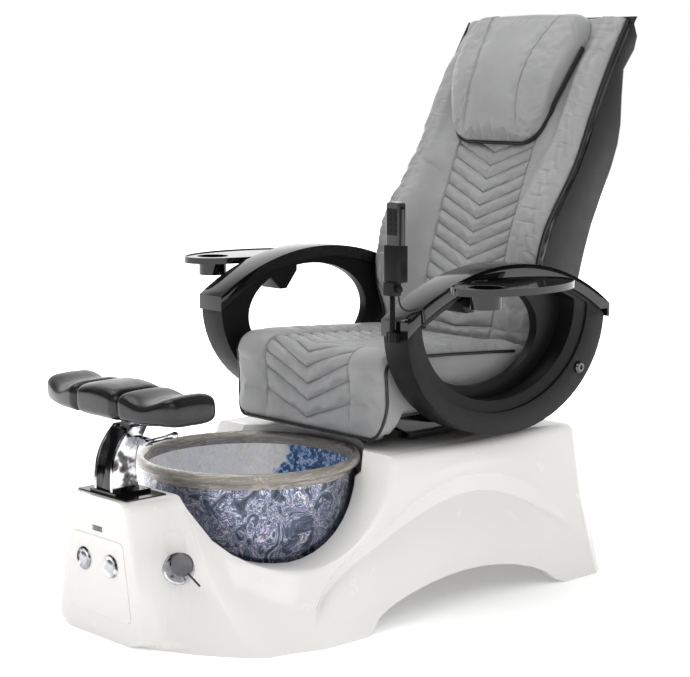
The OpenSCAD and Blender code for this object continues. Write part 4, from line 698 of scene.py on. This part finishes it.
def back_cover(c, drop, rows, detail):
    """Points of the back's cover over columns c and row places rows."""
    C, K = np.meshgrid(c, rows, indexing="ij")
    S = K * BACK_LEN / BACK_CHANNELS
    S = S + chevron_lag(S, BACK_LEN, C, BACK_PANEL)
    z = lerp(BACK_FOOT_Z, BACK_TOP_Z, S / BACK_LEN)
    ny, nz = back_normal(z)
    inner = smooth((K - 0.1) / 0.6) * smooth((BACK_CHANNELS - 0.1 - K) / 0.6)
    side = np.abs(C)
    edge = side - BACK_PANEL
    in_panel = smooth(0.5 - edge / 4)
    quilt = smooth((QUILT_TOP - z) / 20)
    rise = bolster(z) * smooth((edge - 12) / 66)
    crown = BOLSTER_CROWN * smooth((side - 150 - 30 * smooth((z - 1000) / 80)) / 65)
    crown = crown * (1 - np.clip((side - 225) / (BACK_W - 225), 0, 1) ** 3)
    rise = rise + crown * smooth((z - 640) / 240) * (1 - smooth((z - 1240) / 110))
    # A raised band runs down each side, and the leather gathers beside it
    from_band = np.abs(side - BAND_X)
    band = 3.0 * smooth((BAND_W - from_band) / 2.0) + groove(from_band - BAND_W, -1.6, 1.5)
    band = band * smooth((z - 585) / 40)
    outer = smooth((side - BAND_X - BAND_W) / 6) * smooth((z - 620) / 80) * (1 - smooth((z - 1080) / 90))
    waver = value_noise(np.stack([C / 40, S / 70, 0 * C + 1], -1), 6)
    gather = 2.6 * outer * np.sin(2 * np.pi * ((side - BAND_X) / 22 + S / 62 + 0.5 * waver))
    pucker = 0.35 * value_noise(np.stack([C / 5, S / 14, 0 * C], -1), 8) * in_panel
    soft = 1.6 * value_noise(np.stack([C / 50, S / 42, 0 * C + 2], -1), 9) * (1 - in_panel)
    sewn = channel_depth(K, 1) * in_panel * quilt + groove(edge, 4.5, 2.6)
    g = (drop[:, None] - rise + (1 - inner) * 6
         + inner * (sewn + detail * (pucker + soft - band + gather)))
    X = C * back_w(z) / BACK_W
    return np.stack([X, back_y(z) - ny * g, z - nz * g], -1), in_panel, edge


def back_cushion():
    """The back's cover in front and its rear, which lies on the joint with the shell."""
    c, drop = columns(BACK_W, BACK_EDGE_R, BACK_PANEL, 6)
    rows = rows_of(BACK_CHANNELS, CHANNEL_STEPS)
    cover, _, _ = back_cover(c, drop, rows, 1)
    cc, cdrop = columns(BACK_W, BACK_EDGE_R, BACK_PANEL, 9)
    crows = rows_of(BACK_CHANNELS, COARSE_STEPS)
    coarse, in_panel, edge = back_cover(cc, cdrop, crows, 0)
    on_seam = (crows % 1.0 < 0.01)[None, :] * (in_panel > 0.4)
    on_band = np.abs(np.abs(cc) - BAND_X - BAND_W) < 5
    pinned = np.maximum.reduce([
        on_seam * 1.0, (np.abs(edge) < 2.5) * 1.0, (cdrop > 8)[:, None] + 0 * edge, on_band[:, None] * 0.6 + 0 * edge])
    pinned[:, :3] = pinned[:, -3:] = 1
    rise = cloth_rise(coarse, (0, -1, 0), pinned, pressure=5.0, growth=0.03, cap=5.0)
    cover = cover + resample(rise, cc, crows, c, rows)
    rear = []
    for zr in SEAM_ZS[::-1]:
        d = joint_depth(np.abs(c) / BACK_W + 0.035, max(578, zr)) - 2
        rear.append(np.stack([0.988 * c * back_w(zr) / BACK_W, back_y(zr) + d, np.full(len(c), float(zr))], -1))
    rings = np.concatenate([cover, np.stack(rear, 1)], 1)[::-1]
    return cushion_object("back_upholstery", rings, 0.02, "back", ["back_cushion"], dark_sides=3)


def back_piping(side, name, node):
    """Bead down one side of the back, against its rounded edge."""
    a = math.radians(60)
    s = np.linspace(0.03, 0.97, 70) * BACK_LEN
    s = s + chevron_lag(s, BACK_LEN, BACK_W, BACK_PANEL)
    z = lerp(BACK_FOOT_Z, BACK_TOP_Z, s / BACK_LEN)
    ny, nz = back_normal(z)
    x = (BACK_W - BACK_EDGE_R * (1 - math.sin(a))) * back_w(z) / BACK_W
    g = PIPE_OFF / 2 - BACK_EDGE_R / 2 + bolster(z)
    path = np.stack([side * (x + PIPE_OFF * math.sin(a) + 0.5), back_y(z) + ny * g, z + nz * g], 1)
    return bead(name, [path], "back", [node], BEAD_R)


# ---------------------------------------------------------------- head pillow
PILLOW_W, PILLOW_LOW_W, PILLOW_THICK, PILLOW_EDGE_R = 188.0, 156.0, 84.0, 30.0
PILLOW_CORNER_R, PILLOW_TOP_CORNER_R = 66.0, 46.0
PILLOW_LOW_Z, PILLOW_TOP_Z = 1060.0, 1356.0


def superarc(t, p):
    """Superellipse of power p: 1 at t = 0 and 0 at t = 1 and -1."""
    return np.maximum(0, 1 - np.abs(t) ** p) ** (1 / p)


def pillow_swell(k):
    """Share of the full thickness from the lower edge (k = 0) to the top (k = 1)."""
    full = 0.55
    above = 1 - 0.28 * (np.maximum(k - full, 0) / (1 - full)) ** 2
    return np.where(k < full, superarc(1 - np.minimum(k, full) / full, 1.9), above)


def corner(x, w, r):
    """How far a corner of radius r cuts in at x on an edge of half width w."""
    d = np.clip(np.abs(x) - (w - r), 0, r)
    return r - np.sqrt(np.maximum(0, r * r - d * d))


def pillow_w(k):
    """Half width of the pillow, which widens upwards."""
    return lerp(PILLOW_LOW_W, PILLOW_W + 3, np.clip(k / 0.9, 0, 1) ** 0.8)


def pillow_cover(x, e, k, detail):
    """Front of the pillow over columns x with edge drop e, from its lower edge (k = 0) to its top (k = 1)."""
    X, K = np.meshgrid(x, k, indexing="ij")
    E = (e[:, None] + 0 * K) * 0.6
    w = pillow_w(K)
    u = X / PILLOW_W
    X = u * w
    low = PILLOW_LOW_Z + E * 0.4 + corner(X, w, PILLOW_CORNER_R)
    top = PILLOW_TOP_Z - corner(X, w, PILLOW_TOP_CORNER_R)
    z = lerp(low, top, K)
    ny, nz = back_normal(z)
    seam = (0.62 - 0.13 * np.sin(np.pi * np.clip(K, 0, 1))) * w
    off = np.abs(X) - seam
    crown = np.where(
        off > 0, 5 * superarc(np.clip(off / (w - seam + 4), -1, 1), 2), 3.5 * superarc(np.clip(X / seam, -1, 1), 2))
    welt = groove(off, 4.2, 1.9) - np.where(X > 0, groove(off + 5, 2.8, 2.4), 0)
    soft = value_noise(np.stack([X / 45, z / 50, 0 * X], -1), 21)
    lift = smooth(K * 5)
    g = 5 + (PILLOW_THICK - 5) * pillow_swell(K) - E - 6 * u**2
    g = np.maximum(5, g + lift * (crown - 4 - welt + detail * soft))
    return np.stack([X, back_y(z) + ny * g, z + nz * g], -1), off


def pillow_columns(step):
    """x across the pillow and the drop of its rounded edge."""
    a = np.radians(np.linspace(0, 90, 9))
    w, r = PILLOW_W, PILLOW_EDGE_R
    h = np.concatenate([np.arange(0, w - r - 2, step), w - r + r * np.sin(a)])
    e = np.concatenate([np.zeros(len(h) - len(a)), r * (1 - np.cos(a))])
    return np.concatenate([-h[:0:-1], h]), np.concatenate([e[:0:-1], e])


def pillow_rows(count):
    """Row places from 0 to 1, closer together at the lower edge."""
    return (1 - np.cos(np.linspace(0, math.pi / 2, count))) ** 0.85


def head_pillow():
    """The pillow's swollen front, its rounded top and its rear."""
    x, e = pillow_columns(2.0)
    k = pillow_rows(110)
    cover, _ = pillow_cover(x, e, k, 1)
    cx, ce = pillow_columns(7.0)
    ck = pillow_rows(44)
    coarse, off = pillow_cover(cx, ce, ck, 0)
    pinned = np.maximum(smooth(1.6 - np.abs(off) / 5) * 0.9, (ce > 12)[:, None] * 1.0)
    pinned[:, :3] = pinned[:, -2:] = 1
    rise = cloth_rise(coarse, (0, -1, 0), pinned, pressure=6.0, growth=0.03, cap=6.0)
    cover = cover + resample(rise, cx, ck, x, k)
    # The top rounds over and the rear lies on the back cushion
    front_top, foot = cover[:, -1], cover[:, 0]
    rear_top = np.stack([front_top[:, 0], back_y(front_top[:, 2] - 8) + 0 * e, front_top[:, 2] - 8], -1)
    rear_low = np.stack([foot[:, 0], back_y(foot[:, 2] + 1) - SOFT_GAP, foot[:, 2] + 1], -1)
    top = []
    for f in (0.15, 0.35, 0.6, 0.85):
        arc = 7 * math.sin(math.pi * f)
        top.append(lerp(front_top, rear_top, f) + np.array([0, 0.35 * arc, arc]))
    rear = [lerp(rear_top, rear_low, f) for f in np.linspace(0, 1, 14)]
    for ring in rear:
        ring[:, 1] = back_y(ring[:, 2]) - SOFT_GAP
    rings = np.concatenate([cover, np.stack(top, 1), np.stack(rear, 1)], 1)[::-1]
    return cushion_object("head_pillow_soft", rings, 0.05, "back", ["head_pillow"])


def pillow_piping():
    """A doubled bead down both sides of the pillow, round its lower corners and across its lower edge."""
    k = np.linspace(0.93, 0, 40)
    w = pillow_w(k)
    low = PILLOW_LOW_Z + PILLOW_CORNER_R
    side = np.stack([w + 2.5, lerp(low, PILLOW_TOP_Z - PILLOW_TOP_CORNER_R, k), lerp(11.0, 17.0, smooth(k * 5))], 1)
    x = PILLOW_LOW_W * np.cos(np.linspace(0.12, math.pi - 0.12, 60)) * 1.012
    sill = np.stack([x, PILLOW_LOW_Z + corner(x, PILLOW_LOW_W, PILLOW_CORNER_R) - 2.5, 0 * x + 11], 1)
    outline = np.concatenate([side, sill, side[::-1] * (-1, 1, 1)])
    for name, behind, radius, node in (("front", 0.0, 3.5, ["pillow_piping"]), ("rear", 6.6, 2.8, [])):
        z, g = outline[:, 1], outline[:, 2] - behind
        ny, nz = back_normal(z)
        path = np.stack([outline[:, 0], back_y(z) + ny * g, z + nz * g], 1)
        bead("pillow_piping_" + name, [path], "back", node, radius)


# ---------------------------------------------------------------- trays
TRAY_CENTRE = np.array([483.0, 818.0])
TRAY_INSIDE = np.array([92.5, 174.5])  # half axes of the recess
TRAY_HINGE_X = -79.0  # straight inner edge of the top, from the tray's centre
TRAY_FLOOR, TRAY_TOP = 758.0, 766.0
CUP_PLACE, CUP_HOLE_R = np.array([6.0, -96.0]), 40.5


def tray_top(name, side, body):
    """A glossy top laid in a tray's recess, with a round hole for the cup and a straight edge at the hinge."""
    t = np.linspace(0, 2 * math.pi, 96, endpoint=False)
    ray = np.stack([np.cos(t), np.sin(t)], 1)
    # Each ray from the cup's centre meets the recess's oval
    a = ((ray / TRAY_INSIDE) ** 2).sum(1)
    b = 2 * (ray * CUP_PLACE / TRAY_INSIDE**2).sum(1)
    c = ((CUP_PLACE / TRAY_INSIDE) ** 2).sum() - 1
    rim = CUP_PLACE + ray * ((np.sqrt(b * b - 4 * a * c) - b) / (2 * a))[:, None]
    rim[:, 0] = np.maximum(rim[:, 0], TRAY_HINGE_X)
    hole = CUP_PLACE + ray * CUP_HOLE_R
    chamfer = 0.8
    rings = [np.column_stack([p + TRAY_CENTRE, np.full(len(p), z)]) * (side, 1, 1) for p, z in (
        (hole, TRAY_FLOOR), (hole, TRAY_TOP - chamfer), (hole + ray * chamfer, TRAY_TOP),
        (rim * 0.992, TRAY_TOP), (rim, TRAY_TOP - chamfer), (rim, TRAY_FLOOR))]
    points, faces = closed_tube(np.array(rings + rings[:1]), caps=False)
    # The last ring is the first one again, so it is left out
    count = len(points) - len(t)
    faces = [[k % count for k in face] for face in faces]
    obj = mesh_object(name, points[:count], faces, looks["black_gloss"], body)
    obj.modifiers.new("corners", "WEIGHTED_NORMAL")


# ---------------------------------------------------------------- leg rest pads
PADS_LEN, PADS_TOP, PADS_DEPTH, PADS_Y = 470.0, 570.0, 150.0, 68.0
PAD_SEAM = PADS_LEN * 0.16
PAD_CORNER_R = 20.0
PLATE_TOP = 491.0


def pad_section(x, inset, n=72):
    """Closed section of a pad at x: a crowned box with soft corners; each end pad has a trough for a calf."""
    u = abs(x) / (PADS_LEN / 2)
    v = (abs(x) - PAD_SEAM) / (PADS_LEN / 2 - PAD_SEAM)
    if v < 0:
        crest = PADS_TOP - 12 * (x / PAD_SEAM) ** 2
    else:
        crest = PADS_TOP - 8 - 5.5 * (1 - math.cos(2 * math.pi * (v - 0.1) / 0.78))
    low = PLATE_TOP + 4 * u**2
    depth = PADS_DEPTH / 2 * (1 - 0.14 * u**6) - inset
    middle = PADS_Y + 26 * u * u
    top, low = crest - inset, low + inset
    t = np.linspace(0, 2 * math.pi, n, endpoint=False)
    c, s = np.cos(t), np.sin(t)
    side, up = np.sign(c) * np.abs(c) ** 0.5, np.sign(s) * np.abs(s) ** 0.55
    y = middle + depth * side - 4 * s
    # The trough is deeper at the front than at the rear
    dip = math.sin(math.pi * min(1, v) ** 1.1) if v > 0 else 0
    scoop = 7 * np.clip(-side, 0, 1) * dip * (s > 0)
    z = (top + low) / 2 + (top - low) / 2 * up - scoop
    return np.stack([np.full(n, x), y, z], 1)


def pad(name, x0, x1, node):
    """One pad of the leg rest, from x0 to x1, with rounded and slightly wrinkled ends."""
    a = np.radians(np.linspace(0, 90, 8))
    round_x = PAD_CORNER_R * (1 - np.cos(a))
    between = np.linspace(x0 + PAD_CORNER_R + 4, x1 - PAD_CORNER_R - 4, 26)
    xs = np.concatenate([x0 + round_x, between, x1 - round_x[::-1]])
    edge = np.minimum(np.minimum(xs - x0, x1 - xs), PAD_CORNER_R)
    inset = PAD_CORNER_R - np.sqrt(PAD_CORNER_R**2 - (PAD_CORNER_R - edge) ** 2)
    rings = np.array([pad_section(x, k) for x, k in zip(xs, inset)])
    wrinkle = value_noise(rings / (30, 12, 12), 51)
    ends = np.exp(-edge / 6)[:, None]
    rings[:, :, 2] += (0.5 + 0.6 * ends) * wrinkle
    points, faces = closed_tube(rings)
    return mesh_object(name, points, faces, looks["black_leather"], "leg_rest", [node])


# ---------------------------------------------------------------- bowl
BOWL_Y, BOWL_R, BOWL_TOP, BOWL_BOTTOM = 433.0, 266.0, 359.0, 121.0
BOWL_BASE_R, BOWL_WALL, RIM_R, DRAIN_R = 170.0, 9.0, 13.0, 24.0
BOWL_BAND = 40.0  # height of the rim's colour outside
BOWL_SIDES = 300


def bowl_profile():
    """Radius and height round the bowl's section, from the drain up outside, over the rim and down inside."""
    k = np.linspace(0, 1, 46)
    wall_top = BOWL_TOP - RIM_R
    wall_r = lerp(BOWL_BASE_R, BOWL_R - RIM_R - 4, superarc(1 - k, 2.3))
    wall_z = lerp(BOWL_BOTTOM, wall_top - 6, k**1.35)
    floor_r = np.linspace(DRAIN_R, BOWL_BASE_R, 14)[:-1]
    a = np.radians(np.linspace(-70, 180, 26))
    outer = np.stack([np.append(floor_r, wall_r), np.append(0 * floor_r + BOWL_BOTTOM, wall_z)], 1)
    rim = np.stack([BOWL_R - RIM_R + RIM_R * np.cos(a), wall_top + RIM_R * np.sin(a)], 1)
    thinner = np.append(0 * floor_r, 0 * wall_r + BOWL_WALL)[:, None] * (1, 0)
    inner = (outer + (0, BOWL_WALL) - thinner)[:-3][::-1]
    # 0 outside, 1 on the rim, 2 inside
    zone = np.concatenate([np.zeros(len(outer)), np.ones(len(rim)), np.full(len(inner), 2)])
    return np.concatenate([outer, rim, inner]), zone


def rippled_bowl():
    """The glass bowl with its hand-worked ripples: swirls on the wall, long streaks round the rim."""
    profile, zone = bowl_profile()
    m = len(profile)
    along = unit(np.gradient(profile, axis=0))
    out = np.stack([along[:, 1], -along[:, 0]], 1)
    t = np.linspace(0, 2 * math.pi, BOWL_SIDES, endpoint=False)
    r, z = profile[:, 0][None, :], profile[:, 1][None, :]
    x, y = r * np.cos(t)[:, None], r * np.sin(t)[:, None]
    p = np.stack([x, y, z + 0 * x], -1)
    bend = 14 * np.stack([value_noise(p / 60 + 7 * a, 31 + a) for a in range(3)], -1)
    swirl = 1 - np.abs(value_noise((p + bend) / (26, 26, 15), 41)) * 1.6
    swirl = 0.65 * swirl + 0.35 * (1 - 1.6 * np.abs(value_noise((p + bend) / 9, 42)))
    turn = np.stack([np.cos(t), np.sin(t)], 1)[:, None] * 3
    angle = np.concatenate([turn + 0 * p[..., :2], ((z + r) / 5 + 0 * x)[..., None]], -1)
    streak = value_noise(angle, 43)
    on_rim = (zone == 1)[None, :]
    fade = smooth((z - BOWL_BOTTOM - 12) / 30)
    drop = np.where(on_rim, 0.5 * (streak + 1), 2.4 * (1 - swirl) * fade * np.where(zone == 2, 0.7, 1)[None, :])
    r, z = r - out[:, 0] * drop, z - out[:, 1] * drop
    rings = np.stack([r * np.cos(t)[:, None], BOWL_Y + r * np.sin(t)[:, None], z], -1)
    i, j = np.meshgrid(np.arange(BOWL_SIDES), np.arange(m), indexing="ij")
    a, b = i * m + j, (i + 1) % BOWL_SIDES * m + j
    c, d = (i + 1) % BOWL_SIDES * m + (j + 1) % m, i * m + (j + 1) % m
    faces = np.stack([a, b, c, d], -1).reshape(-1, 4).tolist()
    obj = mesh_object("bowl_rippled", rings.reshape(-1, 3), faces, looks["bowl_glass"], "base", ["bowl"])
    for look in (glass_rim, glass_inside):
        obj.data.materials.append(look)
    band = (zone == 0) & (profile[:, 1] > BOWL_TOP - BOWL_BAND)
    index = np.where(band, 1, zone)[None, :].astype(int) + 0 * i
    obj.data.polygons.foreach_set("material_index", index.astype(np.int32).ravel())


# ---------------------------------------------------------------- handset cord
CORD_ROUTE = [
    (336, 596, 779), (336, 596, 772), (336, 596.5, 760), (336, 597, 748), (336.5, 598, 736), (338, 600, 725),
    (342, 603, 716), (348, 608, 711), (355, 613, 710), (362, 618, 712), (369, 623, 715), (375, 627, 716), (379.5, 631, 712),
    (381, 634, 704), (381, 637, 695), (381, 639, 686), (380.5, 640.5, 677), (377.5, 641, 671.4), (372.2, 641, 671),
]
CORD_D = 0.0044  # metres


def handset_cord():
    """The handset's lead, from the pouch down over the arm's cap and into the arm."""
    curve = bpy.data.curves.new("handset_lead", "CURVE")
    curve.dimensions = "3D"
    curve.bevel_depth = CORD_D / 2
    curve.bevel_resolution = 4
    curve.use_fill_caps = True
    spline = curve.splines.new("POLY")
    points = np.array(CORD_ROUTE, float)
    s = np.concatenate([[0], np.cumsum(np.linalg.norm(np.diff(points, axis=0), axis=1))])
    fine = np.linspace(0, s[-1], 64)
    path = row(np.stack([catmull(s, points[:, k], fine) for k in range(3)], 1))
    spline.points.add(len(path) - 1)
    for p, co in zip(spline.points, path):
        p.co = (*co, 1)
    curve.materials.append(looks["seal_rubber"])
    obj = bpy.data.objects.new("handset_lead", curve)
    bpy.context.scene.collection.objects.link(obj)
    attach(obj, "arm_left")
    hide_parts("handset_cord")


# ---------------------------------------------------------------- camera, floor and lights
def camera():
    """The camera at the photograph's viewing angle; its focal length is given in pixels of a 690 wide picture."""
    az, el = math.radians(47.344), math.radians(8.192)
    cam = bpy.data.cameras.new("camera")
    cam.sensor_width = 36
    cam.lens = 36 * 1840.235 / 690
    cam.clip_start, cam.clip_end = 0.1, 60
    obj = bpy.data.objects.new("camera", cam)
    obj.location = (3.281, -2.280 - ROW_CENTRE_Y / 1000, 1.239)
    obj.rotation_euler = (math.pi / 2 - el, 0, az)
    bpy.context.scene.collection.objects.link(obj)
    bpy.context.scene.camera = obj


def stage_mesh(name, points, faces, look):
    mesh = bpy.data.meshes.new(name)
    mesh.from_pydata(points, [], faces)
    mesh.shade_smooth()
    mesh.materials.append(look)
    obj = bpy.data.objects.new(name, mesh)
    bpy.context.scene.collection.objects.link(obj)
    return obj


def area_light(name, place, target, size, power):
    """A soft rectangular light at place, turned to target."""
    light = bpy.data.lights.new(name, "AREA")
    light.shape = "RECTANGLE"
    light.size, light.size_y = size
    light.energy = power
    obj = bpy.data.objects.new(name, light)
    obj.location = place
    obj.rotation_euler = (Vector(target) - Vector(place)).to_track_quat("-Z", "Y").to_euler()
    bpy.context.scene.collection.objects.link(obj)


def studio_world():
    """White room seen by the camera; softer walls light the chair, and patchy ones show in its gloss."""
    world = bpy.data.worlds.new("studio")
    bpy.context.scene.world = world
    world.use_nodes = True
    n = Nodes(world, "Background", "Generated")
    beyond, up = n.along(LOOKING), n.along((0, 0, 1))
    lit = n.math("ADD", n.level(beyond, -0.24, 0.50, 0.46, 0.90), n.level(up, 0.20, 0.90, 0.0, 0.50))
    mirrored = n.math("MAXIMUM", n.level(n.noise(1.7, 2), 0.42, 0.56, 0.04, 0.50), n.level(beyond, 0.35, 0.8, 0.0, 1.4))
    ray = n.add("LightPath").outputs
    strength = n.add("Mix")
    for socket, output in (("Factor", ray["Is Glossy Ray"]), ("A", lit), ("B", mirrored)):
        n.link(output, strength.inputs[socket])
    n.set("Strength", strength.outputs["Result"])
    white = n.add("Background")
    for background in (n.shader, white):
        background.inputs["Color"].default_value = (1, 1, 1, 1)
    seen = n.add("MixShader")
    for socket, output in enumerate((ray["Is Camera Ray"], n.shader.outputs[0], white.outputs[0])):
        n.link(output, seen.inputs[socket])
    n.link(seen.outputs[0], n.tree.nodes["World Output"].inputs["Surface"])


def studio():
    """The room, a pale floor that brightens to the room's white away from the chair, and two soft lights."""
    settings = bpy.context.scene.view_settings
    settings.view_transform = "Standard"
    settings.look = "None"
    studio_world()
    look = new_material("floor_look", (0.93, 0.93, 0.925), 0.8)
    n = Nodes(look)
    n.set("Base Color", n.ramp(n.noise(0.6, 2), (0.3, (0.925, 0.925, 0.92)), (0.7, (0.935, 0.935, 0.93))))
    away = n.add("VectorMath", operation="LENGTH")
    n.link(n.coords, away.inputs[0])
    n.shader.inputs["Emission Color"].default_value = (1, 1, 1, 1)
    n.set("Emission Strength", n.level(away.outputs["Value"], 0.7, 2.6, 0.22, 1.0))
    size = 14.0
    stage_mesh("floor", [(-size, -size, 0), (size, -size, 0), (size, size, 0), (-size, size, 0)], [(0, 1, 2, 3)], look)
    area_light("key", (3.6, -1.4, 3.4), (0, -0.1, 0.5), (2.6, 2.0), 30)
    area_light("top", (-0.6, -0.6, 4.6), (0, 0, 0.5), (3.0, 3.0), 60)


# ---------------------------------------------------------------- build
seat_cushion()
seat_piping()
back_cushion()
back_piping(1, "back_piping_bead_left", "back_piping_left")
back_piping(-1, "back_piping_bead_right", "back_piping_right")
head_pillow()
pillow_piping()
rippled_bowl()
pad("pad_left_soft", PAD_SEAM + 0.3, PADS_LEN / 2, "pad_left")
pad("pad_centre_soft", -PAD_SEAM + 0.3, PAD_SEAM - 0.3, "pad_centre")
pad("pad_right_soft", -PADS_LEN / 2, -PAD_SEAM - 0.3, "pad_right")
tray_top("tray_left_top", 1, "tray_left")
tray_top("tray_right_top", -1, "tray_right")
handset_cord()
camera()
studio()
